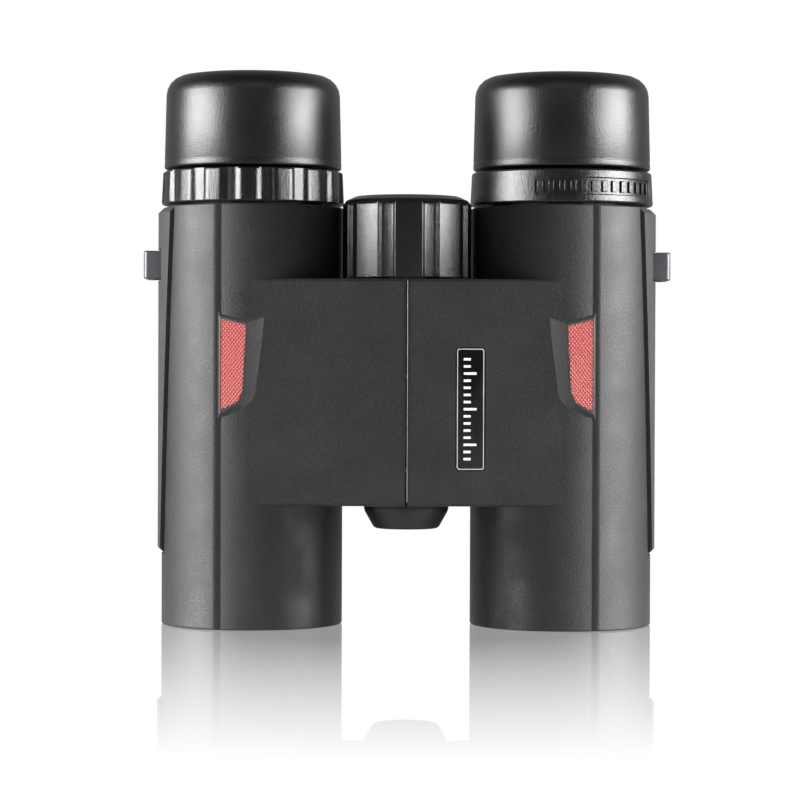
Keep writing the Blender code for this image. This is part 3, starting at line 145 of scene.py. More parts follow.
def boxBetween(low, high):
    bm = bmesh.new()
    bmesh.ops.create_cube(bm, size=1)
    bmesh.ops.scale(bm, verts=bm.verts, vec=Vector(high) - Vector(low))
    bmesh.ops.translate(bm, verts=bm.verts, vec=(Vector(low) + Vector(high)) / 2)
    return bm


def loft(lower, upper):
    # A solid between two outlines with the same number of corners
    bm = bmesh.new()
    edges = []
    for outline in (lower, upper):
        loop = [bm.verts.new(point) for point in outline]
        bm.faces.new(loop)
        edges += [bm.edges.get(pair) for pair in zip(loop, loop[1:] + loop[:1])]
    bmesh.ops.bridge_loops(bm, edges=edges)
    bmesh.ops.recalc_face_normals(bm, faces=bm.faces)
    return bm


def soften(bm, offset, segments=3, overAngle=30, wanted=lambda e: True):
    # Rounds the edges that turn by more than overAngle degrees
    bmesh.ops.recalc_face_normals(bm, faces=bm.faces)
    sharp = [
        e for e in bm.edges
        if len(e.link_faces) == 2 and e.calc_face_angle(0) > math.radians(overAngle) and wanted(e)
    ]
    bmesh.ops.bevel(
        bm, geom=sharp, offset=offset, offset_type="OFFSET", segments=segments,
        profile=0.5, affect="EDGES", material=-1, clamp_overlap=True,
    )
    return bm


def meshObject(bm, name):
    bmesh.ops.remove_doubles(bm, verts=bm.verts, dist=weld)
    bmesh.ops.recalc_face_normals(bm, faces=bm.faces)
    mesh = bpy.data.meshes.new(name)
    bm.to_mesh(mesh)
    bm.free()
    made = bpy.data.objects.new(name, mesh)
    bpy.context.scene.collection.objects.link(made)
    return made


def carve(target, bm, operation="DIFFERENCE"):
    # An exact Boolean, applied, whose tool is thrown away
    tool = meshObject(bm, "tool")
    modifier = target.modifiers.new("carve", "BOOLEAN")
    modifier.operation = operation
    modifier.solver = "EXACT"
    modifier.object = tool
    graph = bpy.context.evaluated_depsgraph_get()
    carved = bpy.data.meshes.new_from_object(target.evaluated_get(graph))
    target.modifiers.clear()
    old = target.data
    target.data = carved
    bpy.data.meshes.remove(old)
    bpy.data.objects.remove(tool)


def finish(made, material, body, replaced=(), sharpAngle=35, side=1):
    # Left-hand pieces are drawn on the right and mirrored
    if side < 0:
        made.data.transform(Matrix.Scale(-1, 4, (1, 0, 0)))
        made.data.flip_normals()
    made.data.materials.clear()
    made.data.materials.append(material)
    made.data.shade_smooth()
    made.data.set_sharp_from_angle(angle=math.radians(sharpAngle))
    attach(made, body)
    if replaced:
        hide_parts(*replaced)
    return made


def bevelled(made, width, segments=2, angle=35):
    edge = made.modifiers.new("soft edges", "BEVEL")
    edge.width = width
    edge.segments = segments
    edge.limit_method = "ANGLE"
    edge.angle_limit = math.radians(angle)


# Materials

noiseLow, noiseHigh = 0.3, 0.7  # most of a noise texture's values lie between these


def linear(hexText):
    # sRGB hex to linear RGBA
    parts = [int(hexText[i:i + 2], 16) / 255 for i in (1, 3, 5)]
    return (*[c / 12.92 if c <= 0.04045 else ((c + 0.055) / 1.055) ** 2.4 for c in parts], 1)


def addNode(tree, kind, settings=None, **inputs):
    # One node with its settings, and its inputs, by name or as _number, either linked or set
    node = tree.nodes.new(kind)
    for name, value in (settings or {}).items():
        setattr(node, name, value)
    for name, value in inputs.items():
        socket = node.inputs[int(name[1:]) if name[1:].isdigit() else name.replace("_", " ")]
        if isinstance(value, bpy.types.NodeSocket):
            tree.links.new(value, socket)
        else:
            socket.default_value = value
    return node


def remap(tree, value, start, end, low, high):
    # start to end becomes low to high
    node = addNode(
        tree, "ShaderNodeMapRange", Value=value, From_Min=start, From_Max=end, To_Min=low, To_Max=high,
    )
    return node.outputs["Result"]


def surface(name, dark, light, roughness, grain, bump, patch=8 * mm, stretch=(1, 1, 1), metallic=0.0,
            speckle=0.0, **sockets):
    # A two-tone solid with fine grain: dark and light are the tones that the pattern moves between,
    # roughness the least and most, grain the width of one bump, bump its height, patch the width of a
    # worn or dusty area
    material = bpy.data.materials.new(name)
    material.use_nodes = True
    tree = material.node_tree
    shader = tree.nodes["Principled BSDF"]
    place = addNode(tree, "ShaderNodeTexCoord").outputs["Object"]
    place = addNode(tree, "ShaderNodeMapping", Vector=place, Scale=stretch).outputs["Vector"]
    fine = addNode(tree, "ShaderNodeTexNoise", Vector=place, Scale=1 / grain, Detail=3.0, Roughness=0.6)
    broad = addNode(tree, "ShaderNodeTexNoise", Vector=place, Scale=1 / patch, Detail=4.0, Roughness=0.55)
    tone = remap(tree, fine.outputs["Fac"], noiseLow, noiseHigh, -speckle, speckle)
    blend = addNode(tree, "ShaderNodeMath", {"operation": "ADD"}, _0=broad.outputs["Fac"], _1=tone)
    colour = addNode(tree, "ShaderNodeMix", {"data_type": "RGBA"}, _0=blend.outputs["Value"])
    colour.inputs[6].default_value = linear(dark)
    colour.inputs[7].default_value = linear(light)
    tree.links.new(colour.outputs[2], shader.inputs["Base Color"])
    rough = remap(tree, broad.outputs["Fac"], noiseLow, noiseHigh, *roughness)
    tree.links.new(rough, shader.inputs["Roughness"])
    relief = addNode(tree, "ShaderNodeBump", Height=fine.outputs["Fac"], Strength=1.0, Distance=bump)
    tree.links.new(relief.outputs["Normal"], shader.inputs["Normal"])
    shader.inputs["Metallic"].default_value = metallic
    for name, value in sockets.items():
        shader.inputs[name.replace("_", " ")].default_value = value
    return material


# The grain of every rubber and plastic is drawn about twice as coarse as real, so that it still shows
# at arm's length.
# Moulded thermoplastic rubber with a spark-eroded grain: dull black that glitters softly in raking light
armourRubber = surface(
    "moulded rubber armour", "#1e1e1f", "#2a2a2b", (0.46, 0.56), 0.32 * mm, 0.075 * mm,
    speckle=1.0, IOR=1.5,
)
# The same rubber with a coarser grain where the hands hold it
gripRubber = surface(
    "coarse-grained grip rubber", "#2a2b2d", "#363739", (0.58, 0.7), 0.55 * mm, 0.07 * mm,
    speckle=0.6, IOR=1.5,
)
# Smooth moulded rubber: nearly polished by the mould, so its highlights are bright but still grainy
eyecupRubber = surface(
    "smooth eyecup rubber", "#050506", "#0c0c0d", (0.27, 0.34), 0.34 * mm, 0.06 * mm, speckle=0.5, IOR=1.5,
)
# Magnesium die casting under black powder paint: matt with a slight orange-peel
paintedCasting = surface(
    "powder-coated magnesium casting", "#1c1d1f", "#26272a", (0.45, 0.6), 0.6 * mm, 0.03 * mm, speckle=0.3,
)
# Turned aluminium, black anodised: fine rings left by the tool under a satin black
anodisedAluminium = surface(
    "turned black-anodised aluminium", "#141416", "#202124", (0.3, 0.4), 0.25 * mm, 0.006 * mm,
    stretch=(0.1, 0.1, 2), metallic=0.6,
)
# Injection-moulded ABS from a lightly textured mould: glossy black with a fine sparkle
glossAbs = surface(
    "textured gloss ABS", "#050506", "#0b0b0c", (0.2, 0.27), 0.34 * mm, 0.08 * mm, speckle=0.4, IOR=1.53,
)
# The same plastic from a polished mould: almost a mirror
polishedAbs = surface(
    "polished ABS badge", "#060607", "#0b0b0c", (0.12, 0.18), 0.8 * mm, 0.002 * mm, IOR=1.53,
)
# Glass-filled nylon straight from the mould: dull black
mouldedNylon = surface(
    "glass-filled nylon moulding", "#141415", "#1c1c1e", (0.55, 0.7), 0.5 * mm, 0.02 * mm,
    speckle=0.4, IOR=1.53,
)
# Tinted ABS moulding: coral red with a soft gloss
redAbs = surface(
    "coral red moulded ABS", "#943331", "#a34440", (0.4, 0.5), 0.5 * mm, 0.006 * mm, speckle=0.2, IOR=1.53,
)
# Zinc bracket with satin plating: a soft grey-black metallic sheen
platedZinc = surface(
    "satin black-plated zinc", "#464749", "#56575a", (0.3, 0.42), 0.4 * mm, 0.012 * mm, metallic=0.4,
)
# Bare turned metals: bright, with the fine rings of the lathe
turnedSteel = surface(
    "turned steel", "#8d8f92", "#a6a8ab", (0.24, 0.34), 0.3 * mm, 0.004 * mm,
    stretch=(0.1, 0.1, 2), metallic=1.0,
)
turnedBrass = surface(
    "turned brass", "#a37f3c", "#bd9a55", (0.24, 0.36), 0.3 * mm, 0.004 * mm,
    stretch=(0.1, 0.1, 2), metallic=1.0,
)
# Undyed nylon: milky white and dull
naturalNylon = surface(
    "natural nylon washer", "#c9c7bd", "#dad8cf", (0.45, 0.55), 0.6 * mm, 0.008 * mm, IOR=1.53,
)
# Silver hot-foil print: a bright pale line with a slight sheen. It also colours the pale strip at the seam,
# which is a painted highlight
silverFoilAndSeamHighlight = surface(
    "silver hot-foil print", "#b4b6b9", "#cfd1d4", (0.3, 0.4), 0.2 * mm, 0.002 * mm, metallic=0.5,
)
# Pad-printed ink: flat white
whitePrint = surface(
    "white pad-printed ink", "#c4c5c6", "#d8d9da", (0.45, 0.55), 0.3 * mm, 0.002 * mm,
)


def glass(name, tint, coating, roughness, ior):
    # Clear glass whose surface reflects the colour of its anti-reflection coating
    made = surface(name, tint, tint, roughness, 1.5 * mm, 0.0005 * mm, IOR=ior, Transmission_Weight=1.0)
    shader = made.node_tree.nodes["Principled BSDF"]
    shader.inputs["Specular Tint"].default_value = linear(coating)
    shader.inputs["Coat Weight"].default_value = 0.6
    shader.inputs["Coat Tint"].default_value = linear(coating)
    return made


# Polished crown glass: clear, with the green glint of its multicoating
coatedGlass = glass("multicoated optical glass", "#dfeee6", "#7ba08c", (0.01, 0.02), 1.52)
# Barium crown prisms: clear and pale, with a weaker glint
prismGlass = glass("barium crown prism glass", "#d9e8e6", "#b8c8c4", (0.03, 0.08), 1.57)

slotMaterials = {
    "armour_rubber": armourRubber,
    "grip_rubber": gripRubber,
    "eyecup_rubber": eyecupRubber,
    "casting": paintedCasting,
    "black_aluminium": anodisedAluminium,
    "gloss_plastic": glossAbs,
    "inner_plastic": mouldedNylon,
    "red_insert": redAbs,
    "lug_metal": platedZinc,
    "steel": turnedSteel,
    "brass": turnedBrass,
    "nylon": naturalNylon,
    "coated_glass": coatedGlass,
    "prism_glass": prismGlass,
}
nodeSlots = {}
for cadNode in frame["nodes"].values():
    slotName = cadNode.data.materials[0].name.split(".")[0]
    nodeSlots[cadNode.name] = slotName
    cadNode.data.materials[0] = slotMaterials[slotName]
print("materials made:", len(slotMaterials), "finishes on the CAD nodes")


# Rubber armour: one skin over each barrel and its half of the bridge

armourShape = {
    "outer": 21.05 * mm,
    "inner": 19.1 * mm,
    "bore": 17.65 * mm,
    "lip": 1.2 * mm,
    "rim": 0.45 * mm,  # rounding of both ends
    "facets": 288,
    # A ramp down and a flat rise: degrees from the front or back, and depths. Each is one of the facets
    "groove": ((17.65, 0.6 * mm), (18.9, 0.4 * mm), (20.15, 0.2 * mm)),
    "grooveFrom": 16.4,  # degrees: where the first facet's edge falls
    "bridgeLow": 28.3 * mm,
    "bridgeHigh": 79.9 * mm,
    "bridgeEdge": 0.7 * mm,
    "shoulder": 152,  # degrees: where the bridge's back leaves the barrel
    "backEdge": 90 - 61 / 2 - 0.8,  # degrees round the hinge, so that the halves clear when folded by 61
    "backWall": 7.5,  # degrees of rubber along that edge
    "seam": 0.1 * mm,
    "skin": 1.0 * mm,
    "knuckle": 10.4 * mm,
}
# A pale strip beside the seam: a painted highlight, standing in for the light that the seam's edge catches
seamHighlightShape = {
    "to": 0.19 * mm,
    "proud": 0.02 * mm,
    "back": 1.2 * mm,
    "foot": 1 * mm,  # how far its ends stay inside the bridge
    "head": 0.4 * mm,
    "edge": 0.03 * mm,
}
# face, rim and foot are outlines of (x, z) in mm, from the barrel's axis and the insert's middle
insertShape = {
    "middle": 60.2 * mm,
    "crest": 0.1 * mm,  # where the bezel stands highest, outwards from the barrel's axis
    "lean": 9.6,  # degrees
    "proud": 1.0 * mm,
    "thickness": 1.0 * mm,
    "gap": 0.3 * mm,
    "face": ((5.9, 10.2), (0.7, 8.8), (1.5, -5.6), (2.6, -7.9), (5.9, -10.0)),
    "rim": ((6.5, 11.0), (0.1, 9.5), (0.9, -6.0), (2.2, -8.8), (6.5, -11.2)),
    "foot": ((7.3, 13.4), (-5.9, 12.0), (-4.1, -8.0), (-1.6, -12.0), (7.3, -13.6)),
    "footDepth": 2.6 * mm,
    "rimEdge": 0.25 * mm,
}
gripShape = {
    "inner": 20.3 * mm,
    "outer": 22.0 * mm,
    "low": 16.7 * mm,
    "high": 96.62 * mm,
    "halfLow": 17.2,  # degrees either side of the outermost line
    "halfHigh": 33.4,
    "chamfer": 1.2 * mm,
    "gap": 0.3 * mm,
    "lugGap": 0.4 * mm,
    "lugReach": 4 * mm,
}
badgeShape = {
    "low": (11.3 * mm, 36.6 * mm),
    "high": (17.6 * mm, 64.2 * mm),
    "corner": 0.8 * mm,
    "front": -20.56 * mm,
    "back": -20.06 * mm,
    "edge": 0.06 * mm,
    "gap": 0.25 * mm,
    "backGap": 0.3 * mm,
}


def bridgeOutline(radius, backAngle):
    knuckle, seam = armourShape["knuckle"], armourShape["seam"]
    shoulder = math.radians(armourShape["shoulder"])
    inside = radius - 0.2 * mm
    return [
        (seam, rightAxis.y - radius),
        (rightAxis.x, rightAxis.y - radius),
        (rightAxis.x, rightAxis.y),
        (rightAxis.x + inside * math.cos(shoulder), rightAxis.y + inside * math.sin(shoulder)),
        (hingeAxis.x + knuckle * math.cos(backAngle), hingeAxis.y + knuckle * math.sin(backAngle)),
        (seam, hingeAxis.y),
    ]


def insertPoint(offset, height, depth=0.0):
    # On the bezel's leaning face, or a depth behind it
    crest = rightAxis.y - armourShape["outer"] - insertShape["proud"]
    back = (offset * mm - insertShape["crest"]) * math.tan(math.radians(insertShape["lean"]))
    return Vector((
        rightAxis.x + offset * mm, crest + back + depth, insertShape["middle"] + height * mm,
    ))


def insertSolid(corners, near, far):
    return loft(*[[insertPoint(x, z, depth) for x, z in corners] for depth in (near, far)])


def widened(corners, margin):
    # Each corner moved away from the middle, by the margin both ways
    midX, midZ = (sum(line) / len(corners) for line in zip(*corners))
    return [(x + math.copysign(margin, x - midX), z + math.copysign(margin, z - midZ)) for x, z in corners]


def gripHalfAt(z):
    # Half the grip's width at this height, in degrees
    share = (z - gripShape["low"]) / (gripShape["high"] - gripShape["low"])
    return gripShape["halfLow"] + (gripShape["halfHigh"] - gripShape["halfLow"]) * share


def wallPatch(inner, outer, grow, low, high, chamfer=0.0, rows=100, around=36):
    # A curved slab round the barrel's outermost line, wider at the top
    bm = bmesh.new()
    profile = [(inner, low), (outer, low), (outer, high), (inner, high)]
    if chamfer:
        profile[1:3] = [(outer - chamfer, low), (outer, low + chamfer), (outer, high - chamfer),
                        (outer - chamfer, high)]
    addWire(bm, [(r, z, 0) for r, z in profile], closed=True)
    tall = [e for e in bm.edges if abs(e.verts[0].co.z - e.verts[1].co.z) > 5 * mm]
    bmesh.ops.subdivide_edges(bm, edges=tall, cuts=rows)
    half = math.radians(gripShape["halfHigh"])
    bmesh.ops.rotate(bm, verts=bm.verts, cent=(0, 0, 0), matrix=Matrix.Rotation(-half, 3, "Z"))
    bmesh.ops.spin(
        bm, geom=bm.verts[:] + bm.edges[:], axis=(0, 0, 1), cent=(0, 0, 0), angle=2 * half, steps=around,
        use_merge=False,
    )
    bmesh.ops.holes_fill(bm, edges=bm.edges, sides=0)
    for v in bm.verts:
        wanted = math.radians(gripHalfAt(v.co.z))
        angle = math.atan2(v.co.y, v.co.x) * (wanted + grow / outer) / half
        radius = v.co.xy.length
        v.co.x, v.co.y = radius * math.cos(angle), radius * math.sin(angle)
    bmesh.ops.translate(bm, verts=bm.verts, vec=rightAxis)
    return bm


def roundedPlate(low, high, corner, front, back):
    # A plate in the bridge's plane with rounded corners: low and high are (x, z)
    outline = [(low[0], low[1]), (high[0], low[1]), (high[0], high[1]), (low[0], high[1])]
    bm = bmesh.new()
    bm.faces.new([bm.verts.new((x, front, z)) for x, z in outline])
    bmesh.ops.bevel(
        bm, geom=bm.verts[:], offset=corner, offset_type="OFFSET", segments=6,
        profile=0.5, affect="VERTICES", material=-1,
    )
    grown = bmesh.ops.extrude_face_region(bm, geom=bm.faces[:])["geom"]
    moved = [g for g in grown if isinstance(g, bmesh.types.BMVert)]
    bmesh.ops.translate(bm, verts=moved, vec=(0, back - front, 0))
    bmesh.ops.recalc_face_normals(bm, faces=bm.faces)
    return bm


def barrelBlank():
    shape = armourShape
    outer, rim = shape["outer"], shape["rim"]
    profile = [(0, 0, 0), (outer, 0, rim), (outer, armourTop, rim), (0, armourTop, 0)]
    bm = lathe(profile, Vector(), shape["facets"])
    # Turned so that the grooves' edges fall on its facets
    start = math.radians(shape["grooveFrom"] - 90)
    bmesh.ops.rotate(bm, verts=bm.verts, cent=(0, 0, 0), matrix=Matrix.Rotation(start, 3, "Z"))
    for v in bm.verts:
        fromFront = math.degrees(math.atan2(v.co.x, abs(v.co.y)))
        for angle, depth in shape["groove"]:
            if abs(fromFront - angle) < 0.3 and v.co.xy.length > outer - depth:
                v.co.xy = v.co.xy.normalized() * (outer - depth)
    bmesh.ops.translate(bm, verts=bm.verts, vec=rightAxis)
    return bm


def insertPocket():
    gap = insertShape["gap"]
    return insertSolid(widened(insertShape["face"], gap / mm), -past, insertShape["thickness"] + gap)


def bezelMesh(name):
    # The raised frame round the insert, let into the armour
    rim = [insertPoint(x, z) for x, z in insertShape["rim"]]
    foot = [insertPoint(x, z, insertShape["footDepth"]) for x, z in insertShape["foot"]]
    made = meshObject(soften(loft(rim, foot), insertShape["rimEdge"], 3, 20), name)
    carve(made, insertPocket())
    return made


def armourMesh(name, withBadge):
    shape = armourShape
    low, high, skin = shape["bridgeLow"], shape["bridgeHigh"], shape["skin"]
    backAngle = math.radians(shape["backEdge"])
    innerAngle = backAngle - math.radians(shape["backWall"])
    made = meshObject(barrelBlank(), name)
    bridge = prism(bridgeOutline(shape["outer"], backAngle), low, high)
    frontEdge = rightAxis.y - shape["outer"] + past
    soften(bridge, shape["bridgeEdge"], 4, 30, lambda e: all(v.co.y < frontEdge for v in e.verts))
    carve(made, bridge, "UNION")
    carve(made, prism(bridgeOutline(shape["inner"], innerAngle), low + skin, high - skin))
    bore, lip, inner, top = shape["bore"], shape["lip"], shape["inner"], armourTop + past
    carve(made, lathe(
        [(0, -past, 0), (bore, -past, 0), (bore, lip, 0), (inner, lip, 0), (inner, top, 0), (0, top, 0)],
        rightAxis, 192,
    ))
    carve(made, cylinder(shape["knuckle"], low - past, high + past, hingeAxis, 96))
    carve(made, insertPocket())
    grip, gap = gripShape, gripShape["gap"]
    carve(made, wallPatch(
        grip["inner"] - gap, grip["outer"] + 2 * past, gap, grip["low"] - gap, grip["high"] + gap, rows=30,
    ))
    if withBadge:
        badge, gap = badgeShape, badgeShape["gap"]
        carve(made, roundedPlate(
            [c - gap for c in badge["low"]], [c + gap for c in badge["high"]], badge["corner"] + gap,
            rightAxis.y - shape["outer"] - past, badge["back"] + badge["backGap"],
        ))
    return made


for name, side, axis in sides:
    made = armourMesh(name + "_armour_skin", side > 0)
    finish(made, armourRubber, name + "_half", [name + "_armour"], 30, side)
    weighted = made.modifiers.new("even shading", "WEIGHTED_NORMAL")
    weighted.keep_sharp = True
    finish(bezelMesh(name + "_bezel"), armourRubber, name + "_half", (), 30, side)
    if side > 0:
        front = rightAxis.y - armourShape["outer"]
        # A thin strip in the pale foil material along the seam: a painted highlight, not a real part
        seamHighlight = boxBetween(
            (armourShape["seam"], front - seamHighlightShape["proud"], armourShape["bridgeLow"] + seamHighlightShape["foot"]),
            (seamHighlightShape["to"], front + seamHighlightShape["back"], armourShape["bridgeHigh"] - seamHighlightShape["head"]),
        )
        seamHighlight = meshObject(soften(seamHighlight, seamHighlightShape["edge"], 2), "seam_painted_highlight")
        finish(seamHighlight, silverFoilAndSeamHighlight, "right_half")
    print("armour made:", name, len(made.data.polygons), "faces")


# Coral inserts with a moulded diamond check

checkShape = {
    "size": 26 * mm,  # of the grid before it is trimmed
    "pitch": 0.72 * mm,
    "height": 0.16 * mm,
    "narrowed": 0.8,
    "middle": 3.4,  # mm outwards from the barrel's axis
    "thickness": 0.7 * mm,
    "setBack": 0.15 * mm,
    "rim": 0.38,  # mm of plain plate round the check
    "plateBack": 0.95 * mm,
    "plateEdge": 0.08 * mm,
}


def checkedInsert(name):
    # A grid turned by 45 degrees, each cell poked into a small pyramid, then trimmed to the outline
    shape = checkShape
    cells = round(shape["size"] / shape["pitch"])
    bm = bmesh.new()
    bmesh.ops.create_grid(bm, x_segments=cells, y_segments=cells, size=shape["size"] / 2)
    bmesh.ops.poke(bm, faces=bm.faces[:], offset=shape["height"])
    bmesh.ops.rotate(bm, verts=bm.verts, cent=(0, 0, 0), matrix=Matrix.Rotation(math.pi / 4, 3, "Z"))
    bmesh.ops.scale(bm, verts=bm.verts, vec=(shape["narrowed"], 1, 1))
    # The grid lies in the insert's leaning plane, its pyramids towards the front
    origin = insertPoint(shape["middle"], 0, shape["setBack"])
    across = (insertPoint(shape["middle"] + 1, 0) - insertPoint(shape["middle"], 0)).normalized()
    up = Vector((0, 0, 1))
    outwards = across.cross(up)
    turn = Matrix((across, up, outwards)).transposed()
    bmesh.ops.transform(bm, verts=bm.verts, matrix=Matrix.Translation(origin) @ turn.to_4x4())
    corners = [insertPoint(x, z) for x, z in widened(insertShape["face"], -shape["rim"])]
    middle = sum(corners, Vector()) / len(corners)
    for start, end in zip(corners, corners[1:] + corners[:1]):
        normal = (end - start).cross(outwards)
        if normal.dot(middle - start) > 0:
            normal.negate()
        bmesh.ops.bisect_plane(
            bm, geom=bm.verts[:] + bm.edges[:] + bm.faces[:], dist=hair, plane_co=start, plane_no=normal,
            clear_outer=True,
        )
    bmesh.ops.recalc_face_normals(bm, faces=bm.faces)
    border = [e for e in bm.edges if e.is_boundary]
    skirt = bmesh.ops.extrude_edge_only(bm, edges=border)["geom"]
    moved = [g for g in skirt if isinstance(g, bmesh.types.BMVert)]
    for v in moved:
        v.co -= outwards * ((v.co - origin).dot(outwards) + shape["thickness"])
    bmesh.ops.holes_fill(bm, edges=bm.edges, sides=0)
    made = meshObject(bm, name)
    # The plain plate that the check stands on shows as a rim round it
    plate = insertSolid(insertShape["face"], shape["setBack"], shape["plateBack"])
    carve(made, soften(plate, shape["plateEdge"], 2), "UNION")
    return made


for name, side, axis in sides:
    insert = checkedInsert(name + "_check_insert")
    finish(insert, redAbs, name + "_half", [name + "_red_insert"], 20, side)
print("inserts made")


# Side grips

gripRibs = {
    "count": 7,
    "depth": 0.25 * mm,
    "low": 24 * mm,
    "high": 76 * mm,
    "fade": 3 * mm,
    "margin": 4.5,  # degrees from the grip's edge
}


def sideGrip(name):
    shape = gripShape
    bm = wallPatch(
        shape["inner"], shape["outer"], 0, shape["low"], shape["high"], shape["chamfer"], rows=60, around=96,
    )
    for v in bm.verts:
        away = v.co - rightAxis
        radius = away.xy.length
        if radius < shape["outer"] - 0.01 * mm or not gripRibs["low"] < v.co.z < gripRibs["high"]:
            continue
        # Shallow upright grooves, fading out at their ends
        across = math.degrees(math.atan2(away.y, away.x)) / (gripHalfAt(v.co.z) - gripRibs["margin"])
        if abs(across) < 1:
            toEnd = min(v.co.z - gripRibs["low"], gripRibs["high"] - v.co.z)
            fade = min(1, toEnd / gripRibs["fade"])
            wave = 0.5 - 0.5 * math.cos(math.tau * (across + 1) / 2 * gripRibs["count"])
            radius -= gripRibs["depth"] * wave * fade
            v.co.xy = rightAxis.xy + away.xy.normalized() * radius
    made = meshObject(bm, name)
    low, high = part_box("right_strap_lug")
    room = Vector.Fill(3, shape["lugGap"])
    carve(made, boxBetween(low - room - Vector((shape["lugReach"], 0, 0)), high + room))
    return made


for name, side, axis in sides:
    grip = sideGrip(name + "_grip_panel")
    finish(grip, gripRubber, name + "_half", [name + "_side_grip"], 35, side)
    bevelled(grip, 0.3 * mm, angle=40)
print("side grips made")


# Strap lugs: a bracket with a slot

lugShape = {"bar": 1.5 * mm, "post": 1.9 * mm, "foot": 0.8 * mm, "edge": 0.35 * mm, "corner": 1.0 * mm}


def isUpright(edge):
    return abs(edge.verts[0].co.z - edge.verts[1].co.z) > mm


def lugBracket(name):
    low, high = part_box("right_strap_lug")
    bar, post, foot = lugShape["bar"], lugShape["post"], lugShape["foot"]
    bm = prism([(low.x, low.y), (high.x, low.y), (high.x, high.y), (low.x, high.y)], low.z, high.z)
    middle = (low.x + high.x) / 2
    soften(bm, lugShape["corner"], 4, 30, lambda e: isUpright(e) and e.verts[0].co.x > middle)
    made = meshObject(bm, name)
    carve(made, boxBetween(
        (low.x + foot, low.y + post, low.z - past), (high.x - bar, high.y - post, high.z + past),
    ))
    return made


for name, side, axis in sides:
    lug = lugBracket(name + "_lug_bracket")
    finish(lug, platedZinc, name + "_half", [name + "_strap_lug"], 35, side)
    bevelled(lug, lugShape["edge"], 3, 40)
print("strap lugs made")


# Badge: a blank gloss plate with a foil border and a plain row of marks

badgeMarks = {
    "border": 0.22 * mm,
    "proud": 0.03 * mm,
    "sunk": 0.1 * mm,
    "margin": 0.08 * mm,
    "corners": (0.7, 0.5),  # the border's outer and inner corners, as shares of the plate's
    "bars": 15,  # short bars up the plate, as on a scale, every fifth one long
    "left": 1.6 * mm,
    "inset": 2.5 * mm,
    "barWidth": 0.55 * mm,
    "short": 1.6 * mm,
    "long": 2.9 * mm,
}


def badgePlate():
    shape = badgeShape
    plate = roundedPlate(shape["low"], shape["high"], shape["corner"], shape["front"], shape["back"])
    frontFace = shape["front"] + 10 * hair
    soften(plate, shape["edge"], 2, 50, lambda e: all(v.co.y < frontFace for v in e.verts))
    return meshObject(plate, "badge_plate")


def badgeBorder(front, back):
    def inset(by):
        return [c + by for c in badgeShape["low"]], [c - by for c in badgeShape["high"]]

    outer, inner = (badgeShape["corner"] * share for share in badgeMarks["corners"])
    made = meshObject(roundedPlate(*inset(badgeMarks["margin"]), outer, front, back), "badge_border")
    hole = inset(badgeMarks["margin"] + badgeMarks["border"])
    carve(made, roundedPlate(*hole, inner, front - past, back + past))
    return made


def badgeBars(front, back):
    marks = badgeMarks
    bm = bmesh.new()
    left, low = badgeShape["low"][0] + marks["left"], badgeShape["low"][1] + marks["inset"]
    step = (badgeShape["high"][1] - marks["inset"] - low) / (marks["bars"] - 1)
    for i in range(marks["bars"]):
        length = marks["long"] if i % 5 == 2 else marks["short"]
        cube = bmesh.ops.create_cube(bm, size=1)["verts"]
        bmesh.ops.scale(bm, verts=cube, vec=(length, back - front, marks["barWidth"]))
        bmesh.ops.translate(bm, verts=cube, vec=(left + length / 2, (front + back) / 2, low + i * step))
    return meshObject(bm, "badge_marks")


finish(badgePlate(), polishedAbs, "right_half", ["name_plate"])
markFront, markBack = badgeShape["front"] - badgeMarks["proud"], badgeShape["front"] + badgeMarks["sunk"]
finish(badgeBorder(markFront, markBack), silverFoilAndSeamHighlight, "right_half")
finish(badgeBars(markFront, markBack), whitePrint, "right_half")
print("badge made")


# The two rings under the eyecups

ringShape = {
    "outer": 21.27 * mm,
    "taper": 0.35 * mm,
    "chamfer": 0.35 * mm,
    "rise": 0.3 * mm,  # its top rim stands this far above the seat of its flange
    "inner": 16.3 * mm,
    "flange": 17.3 * mm,
    "flangeSeat": 0.5 * mm,  # its flange's face, below the CAD ring's top
    "pinGroove": 17.35 * mm,
    "pinGrooveHalf": 2.4 * mm,
    "pinGrooveBelow": 0.2 * mm,  # the middle
    "footBand": 0.06 * mm,  # the plain band under the ribs
    "edge": 0.12 * mm,
    "ribs": 16,
    "facetsPerRib": 20,
    "ribDepth": 0.85 * mm,
    "floorShare": 0.14,  # of a rib's pitch, from the middle of a groove
    "crestShare": 0.31,
}


def ringProfile(low, high, rows):
    # rows are extra heights on its outside, for the ribs to start from
    shape = ringShape
    outer, inner, chamfer = shape["outer"], shape["inner"], shape["chamfer"]
    top, brim, seat = outer - shape["taper"], high + shape["rise"], high - shape["flangeSeat"]
    middle = (low + high) / 2 - shape["pinGrooveBelow"]
    grooveLow, grooveHigh = middle - shape["pinGrooveHalf"], middle + shape["pinGrooveHalf"]
    outline = [(inner, low), (outer - chamfer, low), (outer, low + chamfer)]
    outline += [(outer, z) for z in rows]
    outline += [
        (top, brim - chamfer), (top - chamfer, brim), (shape["flange"], brim), (shape["flange"], seat),
        (inner, seat), (inner, grooveHigh), (shape["pinGroove"], grooveHigh),
        (shape["pinGroove"], grooveLow), (inner, grooveLow),
    ]
    return [(r, z, 0) for r, z in outline]


